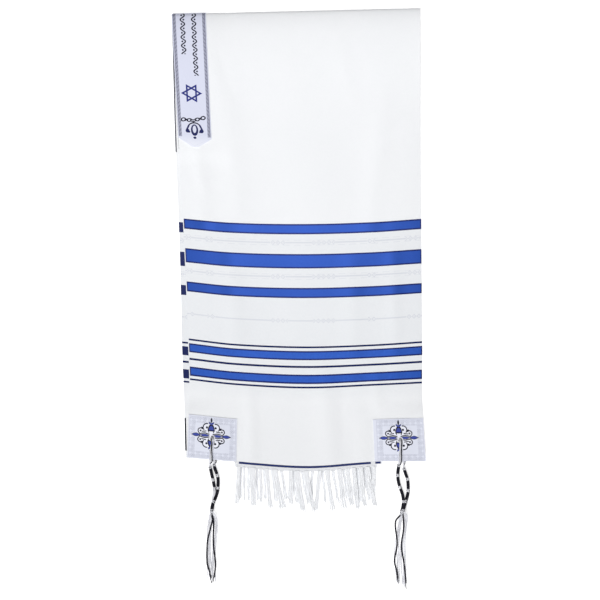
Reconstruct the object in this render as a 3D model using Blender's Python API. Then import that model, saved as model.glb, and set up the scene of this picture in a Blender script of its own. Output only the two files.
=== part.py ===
"""A tallit, the fringed prayer shawl, folded once across its length and laid flat.

X runs across the cloth from the neck edge, Y from the hems to the fold, and Z up from the surface it
lies on. Places on the cloth are given on its flat cut: `across` from the neck edge, and `along` from the
fold line, positive on the upper layer and negative on the lower one. Sizes are in metres.
"""

import math
from collections import namedtuple

import bmesh
import bpy
import numpy as np
from mathutils import Vector

# The cloth
WIDTH = 0.457
HALF_LENGTH = 0.850
WALL = 0.0012
GAP = 0.0003

# The fold: half an ellipse seen from the side, then a long slope down to the lower layer
NOSE_REACH = 0.040
NOSE_RISE = 0.0052
SLOPE_LENGTH = 0.115
FOLD_Y_AT_NECK_EDGE = 0.4230
FOLD_Y_AT_OUTER_EDGE = 0.4343

# How far the outer edge lies stretched out, as a share of its cut length
OUTER_EDGE_STRETCH = 1.001

# The upper layer's height over the lower one, beside which its edges lie up to LAYER_SHIFT aside
LAYER_GAP = 0.0006
LAYER_SHIFT = 0.015
CROWN = 0.0032
CROWN_FULLNESS = 6
FOLD_RUNOUT = 0.030

# Pieces sewn on
PATCH_WIDTH = 0.094
PATCH_HEIGHT = 0.081
PATCH_WALL = 0.0010
EYELET_RADIUS = 0.0045
EYELET_SIDES = 8
EYELET_INSET = 0.004
BAND_WIDTH = PATCH_WIDTH * 2 / 3
BAND_SHOULDER = 0.239
BAND_TIP = 0.256
BAND_TIP_SHARE = 0.15
SEWN_LIFT = GAP + PATCH_WALL
LIFT_RUNOUT = 0.036
CORNER_CLEARANCE = 0.0006

# The cloth's mesh: how far apart its rows and columns are, and the angles of those round the fold
UPPER_STEP = 0.027
LOWER_STEP = 0.044
COLUMN_STEP = 0.0225
NOSE_ROW_ANGLES = (0, 6, 15, 35, 60)

# The fringe
STRIP_DEPTH = 0.0072
LOCKS = 20
LOCK_WIDTH = 0.0066
LOCK_THICKNESS = 0.0014
LOCK_LENGTH = 0.066
LOCK_STATIONS = 4
LOCK_CLEARANCE = 0.0020

# The tzitzit: four threads through an eyelet, doubled to eight, tied into a cord that ends in a tassel
THREAD_WIDTH = 0.0015
THREAD_THICKNESS = 0.0010
THREAD_PITCH = 0.0018
RUN_LIFT = THREAD_THICKNESS + GAP
CORD_RADIUS = 0.0026
KNOT_RADIUS = 0.0033
HEAD_HALF_WIDTH = 0.0038
HEAD_HALF_HEIGHT = 0.0022
KNOTS = 5
STRAND_THICKNESS = 0.0015
STRAND_STATIONS = 5
FLOOR_CLEARANCE = 0.0003
TIE_REACH = 0.009
CAP_INSET = 0.0002
LOOP_PAST_HEM = 0.003
LOOP_BEFORE_HEM = 0.004
LOOP_BEFORE_EYELET = 0.008
LOOP_TURN = 0.0015

# Where each layer's side edges lie, by distance from the fold
Edge = namedtuple("Edge", "distance upper_neck upper_outer lower_neck lower_outer")
EDGES = (
    Edge(0.000, -0.2406, 0.2256, -0.2406, 0.2256),
    Edge(0.236, -0.2284, 0.2266, -0.2344, 0.2242),
    Edge(0.462, -0.2153, 0.2280, -0.2256, 0.2260),
    Edge(0.632, -0.2087, 0.2294, -0.2218, 0.2270),
    Edge(0.730, -0.2068, 0.2296, -0.2182, 0.2272),
    Edge(0.850, -0.2117, 0.2363, -0.2154, 0.2325),
)

# How far the neck edge lies stretched out, as a share of its cut length
Slack = namedtuple("Slack", "near_fold at_hem")
UPPER_SLACK = Slack(0.9589, 0.9774)
LOWER_SLACK = Slack(0.9920, 0.9790)

# How far each line of the weft bows towards the hem, by distance from the fold. It doesn't at the edges.
Bow = namedtuple("Bow", "distance neck_patch centre outer_patch")
BOWS = (
    Bow(0.000, 0.0000, 0.0000, 0.0000),
    Bow(0.200, 0.0046, 0.0062, 0.0047),
    Bow(0.395, 0.0076, 0.0104, 0.0078),
    Bow(0.500, 0.0079, 0.0108, 0.0080),
    Bow(0.625, 0.0088, 0.0126, 0.0086),
    Bow(0.850, 0.0060, 0.0126, 0.0020),
)
BOW_SHARES = (0.0, 0.2, 0.5, 0.79, 1.0)

# The upper layer's largest folds: soft ridges that run out at both ends
Crease = namedtuple("Crease", "across_1 along_1 across_2 along_2 half_width height")
CREASES = (
    Crease(0.095, -0.030, 0.108, 0.500, 0.022, 0.0020),
    Crease(0.034, 0.190, 0.044, 0.480, 0.014, 0.0015),
    Crease(0.405, 0.060, 0.342, 0.500, 0.022, 0.0024),
    Crease(0.246, -0.040, 0.236, 0.740, 0.070, 0.0030),
    Crease(0.089, 0.370, 0.095, 0.740, 0.020, 0.0019),
    Crease(0.323, 0.370, 0.319, 0.740, 0.022, 0.0019),
    Crease(0.401, 0.370, 0.405, 0.750, 0.014, 0.0013),
    Crease(0.116, 0.620, 0.123, 0.930, 0.015, 0.0015),
    Crease(0.262, 0.600, 0.278, 0.930, 0.022, 0.0021),
    Crease(0.370, 0.620, 0.364, 0.930, 0.014, 0.0015),
)
CREASE_TAPER = 1.5

# The routes of the tied cords, from the knot at the hem to the tassel's head, and on to its end
Route = namedtuple("Route", "name layer across cord tassel")
ROUTES = (
    Route(
        "tzitzit_upper_left", 1, PATCH_WIDTH / 2,
        ((-0.1696, -0.4174), (-0.1686, -0.4249), (-0.1662, -0.4380), (-0.1632, -0.4512), (-0.1609, -0.4644),
         (-0.1613, -0.4775), (-0.1632, -0.4888), (-0.1636, -0.4982), (-0.1660, -0.5095), (-0.1668, -0.5151)),
        ((-0.1700, -0.5350), (-0.1722, -0.5800), (-0.1720, -0.6420)),
    ),
    Route(
        "tzitzit_lower_left", -1, PATCH_WIDTH / 2,
        ((-0.1611, -0.4174), (-0.1604, -0.4268), (-0.1564, -0.4390), (-0.1530, -0.4493), (-0.1538, -0.4625),
         (-0.1540, -0.4738), (-0.1557, -0.4850), (-0.1564, -0.4963)),
        ((-0.1575, -0.5200), (-0.1612, -0.5750), (-0.1612, -0.6440)),
    ),
    Route(
        "tzitzit_upper_right", 1, WIDTH - PATCH_WIDTH / 2,
        ((0.1857, -0.4208), (0.1846, -0.4270), (0.1835, -0.4380), (0.1842, -0.4512), (0.1876, -0.4644),
         (0.1918, -0.4756), (0.1940, -0.4869), (0.1936, -0.4982), (0.1910, -0.5095), (0.1899, -0.5151)),
        ((0.1868, -0.5350), (0.1820, -0.5800), (0.1836, -0.6480)),
    ),
    Route(
        "tzitzit_lower_right", -1, WIDTH - PATCH_WIDTH / 2,
        ((0.1945, -0.4208), (0.1945, -0.4280), (0.1985, -0.4380), (0.2017, -0.4493), (0.2030, -0.4625),
         (0.2019, -0.4756), (0.2012, -0.4860), (0.2008, -0.4963)),
        ((0.1990, -0.5200), (0.1935, -0.5750), (0.1950, -0.6530)),
    ),
)


def smooth(share):
    """Rises softly from 0 to 1 as share does."""
    share = min(max(share, 0.0), 1.0)
    return share * share * (3 - 2 * share)


def curve_through(places, values, place):
    """A smooth curve through the values at their places."""
    last = len(places) - 2
    k = min(max(int(np.searchsorted(places, place)) - 1, 0), last)
    span = places[k + 1] - places[k]
    t = (place - places[k]) / span
    lean = [
        (values[min(n + 1, last + 1)] - values[max(n - 1, 0)])
        / (places[min(n + 1, last + 1)] - places[max(n - 1, 0)])
        for n in (k, k + 1)
    ]
    if t > 1:
        return values[k + 1] + lean[1] * (place - places[k + 1])
    return (
        (2 * t**3 - 3 * t**2 + 1) * values[k]
        + (t**3 - 2 * t**2 + t) * span * lean[0]
        + (3 * t**2 - 2 * t**3) * values[k + 1]
        + (t**3 - t**2) * span * lean[1]
    )


def side_edges(along):
    """Where this layer's neck edge and outer edge lie, at a distance from the fold."""
    places = [edge.distance for edge in EDGES]
    upper = [curve_through(places, [getattr(edge, side) for edge in EDGES], abs(along))
             for side in ("upper_neck", "upper_outer")]
    lower = [curve_through(places, [getattr(edge, side) for edge in EDGES], abs(along))
             for side in ("lower_neck", "lower_outer")]
    return upper if along >= 0 else lower


# Lengths along the nose's quarter ellipse, from its tip, by angle
NOSE_ANGLES = np.linspace(0, math.pi / 2, 181)
NOSE_STEPS = np.hypot(NOSE_REACH * np.sin(NOSE_ANGLES), NOSE_RISE * np.cos(NOSE_ANGLES))
NOSE_LENGTHS = np.concatenate([[0.0], np.cumsum((NOSE_STEPS[1:] + NOSE_STEPS[:-1]) / 2)]) * NOSE_ANGLES[1]
NOSE_LENGTH = float(NOSE_LENGTHS[-1])


def past(value, edge):
    """1 inside an edge, falling softly to 0 past it."""
    return 1 - smooth((value - edge) / LIFT_RUNOUT)


def corner_share(across, along):
    """1 over the corner patches, falling softly to 0 round them."""
    aside = min(across, WIDTH - across)
    return past(aside, PATCH_WIDTH) * past(HALF_LENGTH - abs(along), PATCH_HEIGHT)


def run_share(across, along):
    """1 over the threads that run from each eyelet to the hem, falling to 0 at the patch's sides."""
    aside = abs(min(across, WIDTH - across) - PATCH_WIDTH / 2) / (PATCH_WIDTH / 2)
    if aside >= 1:
        return 0.0
    return math.cos(aside * math.pi / 2) ** 2 * past(HALF_LENGTH - abs(along), PATCH_HEIGHT / 2 + 0.008)


def lower_lift(across, along):
    """How far what is sewn under the lower layer, and the threads there, hold it off the surface."""
    band = past(across, BAND_WIDTH) * past(abs(along), BAND_TIP)
    return SEWN_LIFT * max(band, corner_share(across, along)) + RUN_LIFT * run_share(across, along)


def crease_height(across, along):
    """The sum of the soft ridges at a place on the upper layer."""
    total = 0.0
    for crease in CREASES:
        run = (crease.across_2 - crease.across_1, crease.along_2 - crease.along_1)
        offset = (across - crease.across_1, along - crease.along_1)
        share = (offset[0] * run[0] + offset[1] * run[1]) / (run[0] ** 2 + run[1] ** 2)
        share = min(max(share, 0.0), 1.0)
        distance = math.hypot(offset[0] - share * run[0], offset[1] - share * run[1])
        taper = math.sin(math.pi * share) ** CREASE_TAPER
        total += crease.height * taper * math.exp(-((distance / crease.half_width) ** 2))
    return total


def upper_height(across, along):
    """The height of the upper layer's middle, away from the fold."""
    under = across + (LAYER_SHIFT if across > WIDTH / 2 else -LAYER_SHIFT)
    under = min(max(under, 0.0), WIDTH)
    base = WALL / 2 + WALL + LAYER_GAP + lower_lift(under, along)
    base += (RUN_LIFT + CORNER_CLEARANCE) * corner_share(across, along) + RUN_LIFT * run_share(across, along)
    crown = CROWN * (1 - abs(2 * across / WIDTH - 1) ** CROWN_FULLNESS)
    crown *= 1 - corner_share(across, along)
    folds = crease_height(across, along) * past(-min(across, WIDTH - across), -FOLD_RUNOUT)
    folds *= 1 - corner_share(across, along)
    return base + crown + folds


def weft_bow(share, distance):
    """How far a thread of the weft bows towards the hem at a share of the width."""
    places = [bow.distance for bow in BOWS]
    inner = [curve_through(places, [bow[k] for bow in BOWS], distance) for k in (1, 2, 3)]
    return curve_through(BOW_SHARES, (0.0, *inner, 0.0), share)


def middle(across, along):
    """A point on the middle of the cloth's wall."""
    distance = abs(along)
    neck, outer = side_edges(along)
    share = across / WIDTH
    x = neck + (outer - neck) * share
    slack = UPPER_SLACK if along >= 0 else LOWER_SLACK
    neck_stretch = slack.near_fold + (slack.at_hem - slack.near_fold) * distance / HALF_LENGTH
    stretch = neck_stretch + (OUTER_EDGE_STRETCH - neck_stretch) * share
    bow = weft_bow(share, distance)
    fold_y = FOLD_Y_AT_NECK_EDGE + (FOLD_Y_AT_OUTER_EDGE - FOLD_Y_AT_NECK_EDGE) * share
    floor = WALL / 2 + lower_lift(across, -distance)
    if distance < NOSE_LENGTH:
        angle = float(np.interp(distance, NOSE_LENGTHS, NOSE_ANGLES))
        back = NOSE_REACH * (1 - math.cos(angle))
        rise = NOSE_RISE * math.sin(angle)
        return Vector((x, fold_y - back - bow, floor + NOSE_RISE + (rise if along > 0 else -rise)))
    back = NOSE_REACH + (distance - NOSE_LENGTH) * stretch
    if along < 0:
        return Vector((x, fold_y - back - bow, floor))
    slope = math.exp(-(((distance - NOSE_LENGTH) / SLOPE_LENGTH) ** 2))
    top = floor + 2 * NOSE_RISE
    return Vector((x, fold_y - back - bow, top * slope + upper_height(across, along) * (1 - slope)))


def on_cloth(across, along, out=0.0):
    """A point at a distance outside the middle of the cloth's wall, or inside it below zero."""
    step = 0.0005
    across_way = middle(across + step, along) - middle(across - step, along)
    along_way = middle(across, along + step) - middle(across, along - step)
    return middle(across, along) - across_way.cross(along_way).normalized() * out


def spaced(start, end, step):
    """Evenly spaced places from start up to, and not with, end."""
    count = max(round(abs(end - start) / step), 1)
    return [start + (end - start) * k / count for k in range(count)]


NOSE_ROWS = [float(np.interp(math.radians(a), NOSE_ANGLES, NOSE_LENGTHS)) for a in NOSE_ROW_ANGLES]
UPPER_ROWS = (
    spaced(NOSE_LENGTH, BAND_SHOULDER, UPPER_STEP)
    + [BAND_SHOULDER]
    + spaced(BAND_TIP, HALF_LENGTH - PATCH_HEIGHT, UPPER_STEP)
    + spaced(HALF_LENGTH - PATCH_HEIGHT, HALF_LENGTH, PATCH_HEIGHT / 4)
    + [HALF_LENGTH]
)
LOWER_ROWS = (
    spaced(NOSE_LENGTH, BAND_SHOULDER, LOWER_STEP)
    + [BAND_SHOULDER]
    + spaced(BAND_TIP, HALF_LENGTH - PATCH_HEIGHT, LOWER_STEP)
    + spaced(HALF_LENGTH - PATCH_HEIGHT, HALF_LENGTH, PATCH_HEIGHT / 4)
    + [HALF_LENGTH]
)
ROWS = sorted([-row for row in LOWER_ROWS + NOSE_ROWS[1:]] + NOSE_ROWS + UPPER_ROWS)
COLUMNS = (
    spaced(0, PATCH_WIDTH, PATCH_WIDTH / 6)
    + spaced(PATCH_WIDTH, WIDTH - PATCH_WIDTH, COLUMN_STEP)
    + spaced(WIDTH - PATCH_WIDTH, WIDTH, PATCH_WIDTH / 6)
    + [WIDTH]
)


def flat_grid(columns, rows):
    """A grid on the flat cut, with a vertex wherever a column crosses a row."""
    flat = bmesh.new()
    bmesh.ops.create_grid(flat, x_segments=len(columns) - 1, y_segments=len(rows) - 1, size=0.5)
    for vert in flat.verts:
        column = round((vert.co.x + 0.5) * (len(columns) - 1))
        row = round((vert.co.y + 0.5) * (len(rows) - 1))
        vert.co = (columns[column], rows[row], 0)
    return flat


def cut_eyelet(flat, across, along):
    """Opens a round hole about a vertex of the grid."""
    centre = Vector((across, along, 0))
    vert = min(flat.verts, key=lambda v: (v.co - centre).length)
    around = {loop.vert for face in vert.link_faces for loop in face.loops} - {vert}
    bmesh.ops.dissolve_verts(flat, verts=[vert])
    face = max(set.intersection(*[set(v.link_faces) for v in around]), key=lambda f: len(f.verts))
    bmesh.ops.inset_individual(flat, faces=[face], thickness=EYELET_INSET)
    for corner in face.verts:
        away = corner.co - centre
        turn = round(math.atan2(away.y, away.x) * EYELET_SIDES / math.tau) * math.tau / EYELET_SIDES
        corner.co = centre + Vector((math.cos(turn), math.sin(turn), 0)) * EYELET_RADIUS
    bmesh.ops.delete(flat, geom=[face], context="FACES_ONLY")


def triangles(face):
    """A face's triangles, split from its lowest corner, so that pieces laid on each other bend alike."""
    corners = list(face.verts)
    first = corners.index(min(corners, key=lambda v: v.co.x + v.co.y))
    corners = corners[first:] + corners[:first]
    return [(corners[0], corners[k], corners[k + 1]) for k in range(1, len(corners) - 1)]


def thicken(flat, inner, outer):
    """A closed wall on the cloth's surface, between two distances from the middle of the cloth."""
    solid = bmesh.new()
    sides = {}
    for distance in (inner, outer):
        sides[distance] = {v: solid.verts.new(on_cloth(v.co.x, v.co.y, distance)) for v in flat.verts}
    for face in flat.faces:
        for three in triangles(face):
            solid.faces.new([sides[outer][v] for v in three])
            solid.faces.new([sides[inner][v] for v in reversed(three)])
    for edge in flat.edges:
        if len(edge.link_faces) == 1:
            one, two = edge.verts
            solid.faces.new([sides[inner][one], sides[inner][two], sides[outer][two], sides[outer][one]])
    flat.free()
    bmesh.ops.recalc_face_normals(solid, faces=solid.faces)
    return solid


def extend(bm, face, stations):
    """Extrudes a face through stations, each of which places its corners, and returns the end face."""
    for corners in stations:
        face = bmesh.ops.extrude_discrete_faces(bm, faces=[face])["faces"][0]
        for vert, place in zip(face.verts, corners):
            vert.co = place
    return face


def material(name, colour, roughness):
    """A plain cloth finish."""
    finish = bpy.data.materials.new(name)
    finish.use_nodes = True
    shader = finish.node_tree.nodes["Principled BSDF"]
    shader.inputs["Base Color"].default_value = (*colour, 1)
    shader.inputs["Roughness"].default_value = roughness
    shader.inputs["Metallic"].default_value = 0.0
    return finish


def finish_object(name, bm, finish):
    """Turns a mesh into the part's named object."""
    mesh = bpy.data.meshes.new(name)
    bmesh.ops.recalc_face_normals(bm, faces=bm.faces)
    bm.to_mesh(mesh)
    bm.free()
    mesh.materials.append(finish)
    mesh.shade_smooth()
    mesh.set_sharp_from_angle(angle=math.radians(35))
    bpy.context.collection.objects.link(bpy.data.objects.new(name, mesh))


def corner_places():
    """Name, layer, first column and eyelet of each corner."""
    for layer, level in ((1, "upper"), (-1, "lower")):
        yield f"{level}_left", layer, 0.0, PATCH_WIDTH / 2
        yield f"{level}_right", layer, WIDTH - PATCH_WIDTH, WIDTH - PATCH_WIDTH / 2


def make_body():
    """The one cloth, folded, with an eyelet in each corner."""
    flat = flat_grid(COLUMNS, ROWS)
    for _, layer, _, eyelet in corner_places():
        cut_eyelet(flat, eyelet, layer * (HALF_LENGTH - PATCH_HEIGHT / 2))
    finish_object("body_cloth", thicken(flat, -WALL / 2, WALL / 2), material("wool_white", (0.90, 0.91, 0.93), 0.85))


def make_patches():
    """A woven patch on the right side of each corner."""
    finish = material("satin_lilac", (0.62, 0.64, 0.82), 0.45)
    rows = [HALF_LENGTH - PATCH_HEIGHT + PATCH_HEIGHT * k / 4 for k in range(5)]
    for name, layer, start, eyelet in corner_places():
        columns = [start + PATCH_WIDTH * k / 6 for k in range(7)]
        flat = flat_grid(columns, sorted(layer * row for row in rows))
        cut_eyelet(flat, eyelet, layer * (HALF_LENGTH - PATCH_HEIGHT / 2))
        inner = WALL / 2 + GAP
        finish_object(f"corner_patch_{name}", thicken(flat, inner, inner + PATCH_WALL), finish)


def make_band():
    """The neck band, on the right side along the neck edge, round the fold, with a blunt point at each end."""
    columns = [BAND_WIDTH * k / 4 for k in range(5)]
    rows = [row for row in ROWS if abs(row) < BAND_TIP - 1e-6]
    flat = flat_grid(columns, [-BAND_TIP, *rows, BAND_TIP])
    for vert in flat.verts:
        if abs(vert.co.y) > BAND_SHOULDER + 1e-6:
            vert.co.x = BAND_WIDTH / 2 + (vert.co.x - BAND_WIDTH / 2) * BAND_TIP_SHARE
    inner = WALL / 2 + GAP
    finish_object("neck_band", thicken(flat, inner, inner + PATCH_WALL), material("band_lilac", (0.70, 0.72, 0.86), 0.45))


def lock_corners(corners, start, layer, number):
    """Where a lock's four corners go at each station from its root to its tip."""
    lean = 0.0022 * math.sin(1.9 * number + layer) + 0.0018 * math.sin(0.7 * number + 2 * layer)
    length = LOCK_LENGTH * (1 + 0.06 * math.sin(2.3 * number + layer))
    rest = FLOOR_CLEARANCE + LOCK_THICKNESS / 2 + (LOCK_CLEARANCE if layer > 0 else 0)
    for station in range(1, LOCK_STATIONS + 1):
        share = station / LOCK_STATIONS
        centre = Vector((
            start.x + lean * share**1.4,
            start.y - length * share,
            start.z + (rest - start.z) * smooth(share * 1.5),
        ))
        swell = 1 + 0.12 * math.sin(math.pi * share)
        yield [
            centre + Vector((
                math.copysign(LOCK_WIDTH / 2 * swell, corner.x - start.x),
                0,
                math.copysign(LOCK_THICKNESS / 2, corner.z - start.z),
            ))
            for corner in corners
        ]


def make_fringe(name, layer):
    """A narrow strip along the hem between the patches, and the locks of fringe that hang from it."""
    first, last = PATCH_WIDTH + GAP, WIDTH - PATCH_WIDTH - GAP
    pitch = (last - first - LOCK_WIDTH) / (LOCKS - 1)
    columns = []
    for k in range(LOCKS):
        columns += [first + pitch * k, first + pitch * k + LOCK_WIDTH]
    near, far = layer * (HALF_LENGTH + GAP), layer * (HALF_LENGTH + STRIP_DEPTH)
    strip = thicken(flat_grid(columns, [near, far]), -WALL / 2, WALL / 2)
    for k in range(LOCKS):
        start = on_cloth((columns[2 * k] + columns[2 * k + 1]) / 2, far)
        root = min(strip.faces, key=lambda face: (face.calc_center_median() - start).length)
        corners = [vert.co.copy() for vert in root.verts]
        extend(strip, root, lock_corners(corners, start, layer, k))
    finish_object(name, strip, material(f"{name}_white", (0.92, 0.92, 0.93), 0.9))


def path_points(points, count):
    """Evenly spaced places along a smooth curve through the points, and the directions there."""
    lengths = [0.0]
    for one, two in zip(points, points[1:]):
        lengths.append(lengths[-1] + math.hypot(two[0] - one[0], two[1] - one[1]))
    axes = [[point[axis] for point in points] for axis in (0, 1)]
    places = []
    for k in range(count):
        at = lengths[-1] * k / (count - 1)
        here = Vector([curve_through(lengths, axis, at) for axis in axes])
        ahead = Vector([curve_through(lengths, axis, at + 0.0005) for axis in axes])
        places.append((here, (ahead - here).normalized()))
    return places


def disc(i, j):
    """A corner of the four by two grid that fills a round section, on a disc of radius 1."""
    a, b = (i - 2) / 2, j - 1
    return a * math.sqrt(1 - b * b / 2), b * math.sqrt(1 - a * a / 2)


RIM = [(i, 0) for i in range(4)] + [(4, 0), (4, 1)] + [(i, 2) for i in range(4, 0, -1)] + [(0, 2), (0, 1)]


def section(centre, ahead, half_width, half_height, corner):
    """Where a corner of a cord's section lies. Its sides are level, and ahead points along the cord."""
    aside = Vector((-ahead.y, ahead.x, 0)).normalized()
    up = ahead.cross(aside) if ahead.cross(aside).z > 0 else -ahead.cross(aside)
    a, b = disc(*corner)
    return centre + aside * (a * half_width) + up * (b * half_height)


def cap(bm, rim, place):
    """Closes a cord's end with eight faces, one for each thread, and returns them by column and row."""
    corner = dict(rim)
    for i in range(1, 4):
        corner[i, 1] = bm.verts.new(place((i, 1)))
    return {
        (i, j): bm.faces.new([corner[i, j], corner[i + 1, j], corner[i + 1, j + 1], corner[i, j + 1]])
        for i in range(4)
        for j in range(2)
    }


def square(centre, aside, up, width, thickness, corners):
    """Four corners about a centre, in the order that the given ones have about theirs."""
    middle_of = sum(corners, Vector()) / 4
    return [
        centre
        + aside * math.copysign(width / 2, (corner - middle_of).dot(aside))
        + up * math.copysign(thickness / 2, (corner - middle_of).dot(up))
        for corner in corners
    ]


def cord_stations(route):
    """Centre, direction and half sizes of each section of the tied cord."""
    count = 3 * KNOTS
    places = path_points(route.cord, count)
    start = on_cloth(route.across, route.layer * (HALF_LENGTH + TIE_REACH))
    floor = FLOOR_CLEARANCE + KNOT_RADIUS
    heights = [start.z + (floor - start.z) * smooth(4 * k / (count - 1)) for k in range(count)]
    for k, (here, ahead) in enumerate(places):
        knot = k % 3 == 1
        size = KNOT_RADIUS if knot else CORD_RADIUS
        ends = k in (0, count - 1)
        centre = Vector((here.x, here.y, heights[k]))
        ahead = Vector((ahead.x, ahead.y, (heights[min(k + 1, count - 1)] - heights[k]) / 0.01))
        yield centre, ahead, HEAD_HALF_WIDTH if ends else size, HEAD_HALF_HEIGHT if ends else size


def grow_thread(bm, face, stations, width, thickness):
    """Insets a cap's face and draws a four-sided thread from it through centres with their directions."""
    bmesh.ops.inset_individual(bm, faces=[face], thickness=CAP_INSET)
    for centre, aside, up in stations:
        corners = [vert.co.copy() for vert in face.verts]
        face = extend(bm, face, [square(centre, aside, up, width, thickness, corners)])
    return face


def make_tzitzit(route, finish):
    """Four threads through the eyelet, doubled, tied in five knots with wound lengths between, and a tassel."""
    bm = bmesh.new()
    stations = list(cord_stations(route))
    rims = [{corner: bm.verts.new(section(*station, corner)) for corner in RIM} for station in stations]
    for near, far in zip(rims, rims[1:]):
        for one, two in zip(RIM, RIM[1:] + RIM[:1]):
            bm.faces.new([near[one], near[two], far[two], far[one]])
    tie = cap(bm, rims[0], lambda corner: section(*stations[0], corner))
    head = cap(bm, rims[-1], lambda corner: section(*stations[-1], corner))
    add_loops(bm, route, tie)
    add_tassel(bm, route, head)
    finish_object(route.name, bm, finish)


def add_loops(bm, route, tie):
    """Each thread runs over the patch, down the eyelet and back under the cloth to the knot."""
    eyelet = HALF_LENGTH - PATCH_HEIGHT / 2
    outside = WALL / 2 + GAP + PATCH_WALL + GAP + THREAD_THICKNESS / 2
    inside = -WALL / 2 - GAP - THREAD_THICKNESS / 2
    middle_of = (outside + inside) / 2
    outer_row, inner_row = (1, 0) if route.layer > 0 else (0, 1)
    past_hem, before_hem = HALF_LENGTH + LOOP_PAST_HEM, HALF_LENGTH - LOOP_BEFORE_HEM
    straight, turning = eyelet + LOOP_BEFORE_EYELET, eyelet + LOOP_TURN
    loop = (
        (past_hem, outside, 0.0), (before_hem, outside, 0.0), (straight, outside, 0.0), (turning, outside, 0.3),
        (eyelet, middle_of, 1.0),
        (turning, inside, 1.7), (straight, inside, 2.0), (before_hem, inside, 2.0), (past_hem, inside, 2.0),
    )
    for i in range(4):
        knot_across = across_at(route, tie[i, outer_row].calc_center_median())
        threads = []
        for along, out, turns in loop:
            share = (along - eyelet) / (HALF_LENGTH + TIE_REACH - eyelet)
            hole_across = route.across - (i - 1.5) * THREAD_PITCH
            across = hole_across + (knot_across - hole_across) * max(share, 0.0)
            centre = on_cloth(across, route.layer * along, out)
            outward = (on_cloth(across, route.layer * along, out + 0.001) - centre).normalized()
            aside = (on_cloth(across + 0.001, route.layer * along, out) - centre).normalized()
            turn = turns * math.pi / 2
            onward = outward.cross(aside)
            threads.append((centre, aside, outward * math.cos(turn) + onward * math.sin(turn)))
        face = grow_thread(bm, tie[i, outer_row], threads, THREAD_WIDTH, THREAD_THICKNESS)
        join_faces(bm, face, tie[i, inner_row])


def across_at(route, point):
    """The place across the cloth, at the hem, that lies level with a point."""
    neck, outer = side_edges(route.layer * HALF_LENGTH)
    return (point.x - neck) / (outer - neck) * WIDTH


def join_faces(bm, face, other):
    """Takes out two facing faces and closes the tube between them."""
    bmesh.ops.inset_individual(bm, faces=[other], thickness=CAP_INSET)
    ends = list(face.verts)
    turned = [list(other.verts)[k:] + list(other.verts)[:k] for k in range(4)]
    turned += [order[::-1] for order in turned]
    nearest = min(turned, key=lambda order: sum((a.co - b.co).length for a, b in zip(ends, order)))
    bmesh.ops.delete(bm, geom=[face, other], context="FACES_ONLY")
    pairs = list(zip(ends, nearest))
    for (one, one_end), (two, two_end) in zip(pairs, pairs[1:] + pairs[:1]):
        bm.faces.new([one, two, two_end, one_end])


def add_tassel(bm, route, head):
    """Eight strands, four across and two high, that fan a little and end just above the surface."""
    path = path_points((route.cord[-1],) + route.tassel, STRAND_STATIONS + 1)
    for (i, j), face in head.items():
        strand = []
        for k in range(1, STRAND_STATIONS + 1):
            share = k / STRAND_STATIONS
            here, ahead = path[k]
            aside = Vector((-ahead.y, ahead.x, 0))
            sway = 0.0003 * math.sin(5 * share + 1.7 * i + j)
            length = 1 - 0.03 * ((i * 3 + j * 2) % 4) * (share == 1)
            away = (i - 1.5) * (0.0019 + 0.0007 * share) + sway
            low = FLOOR_CLEARANCE + STRAND_THICKNESS / 2
            height = low + j * (STRAND_THICKNESS + GAP)
            back = path[k - 1][0]
            centre = Vector((*(back + (here - back) * length), height)) + aside * away
            strand.append((centre, aside, Vector((0, 0, 1))))
        grow_thread(bm, face, strand, STRAND_THICKNESS, STRAND_THICKNESS)


def main():
    for thing in list(bpy.data.objects):
        bpy.data.objects.remove(thing)
    make_body()
    make_patches()
    make_band()
    make_fringe("fringe_upper", 1)
    make_fringe("fringe_lower", -1)
    thread = material("thread_white", (0.86, 0.86, 0.90), 0.7)
    for route in ROUTES:
        make_tzitzit(route, thread)


main()
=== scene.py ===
import math
from collections import namedtuple
from functools import reduce

import bpy
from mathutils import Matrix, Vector, noise


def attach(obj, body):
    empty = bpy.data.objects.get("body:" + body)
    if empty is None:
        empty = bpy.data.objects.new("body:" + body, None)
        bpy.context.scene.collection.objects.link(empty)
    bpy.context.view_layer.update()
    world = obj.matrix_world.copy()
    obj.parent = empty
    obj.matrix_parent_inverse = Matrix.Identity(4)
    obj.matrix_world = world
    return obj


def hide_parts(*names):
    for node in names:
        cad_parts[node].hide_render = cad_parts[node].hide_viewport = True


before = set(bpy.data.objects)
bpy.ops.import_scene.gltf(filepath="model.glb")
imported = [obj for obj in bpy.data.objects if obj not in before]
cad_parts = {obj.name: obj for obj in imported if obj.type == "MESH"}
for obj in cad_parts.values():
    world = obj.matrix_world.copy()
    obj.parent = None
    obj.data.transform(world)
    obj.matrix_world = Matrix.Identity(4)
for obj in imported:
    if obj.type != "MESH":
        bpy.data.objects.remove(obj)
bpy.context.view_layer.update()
bpy.ops.object.select_all(action="DESELECT")


# --- The table ---------------------------------------------------------------------------------
# The shawl lies on a plain white table, lit by a wide soft window beyond its hem and to the left, a
# lamp above its upper half and a pale sky. The camera hangs straight above its middle.

VIEW_WIDTH = 1.128
VIEW_CENTRE_Y = -0.1128
CAMERA_HEIGHT = 3.2
TABLE_SIZE = 9
TABLE_DROP = 0.0002
TABLE_GLOW = 0.45
WINDOW_SIDE = (-0.42, -0.86, 0.80)
WINDOW_POWER, WINDOW_SOFTNESS = 3.0, 0.80
LAMP_PLACE, LAMP_SIZE, LAMP_POWER = (0, 0.16, 1.5), 0.4, 9.0
SKY_STRENGTH = 0.145

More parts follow.
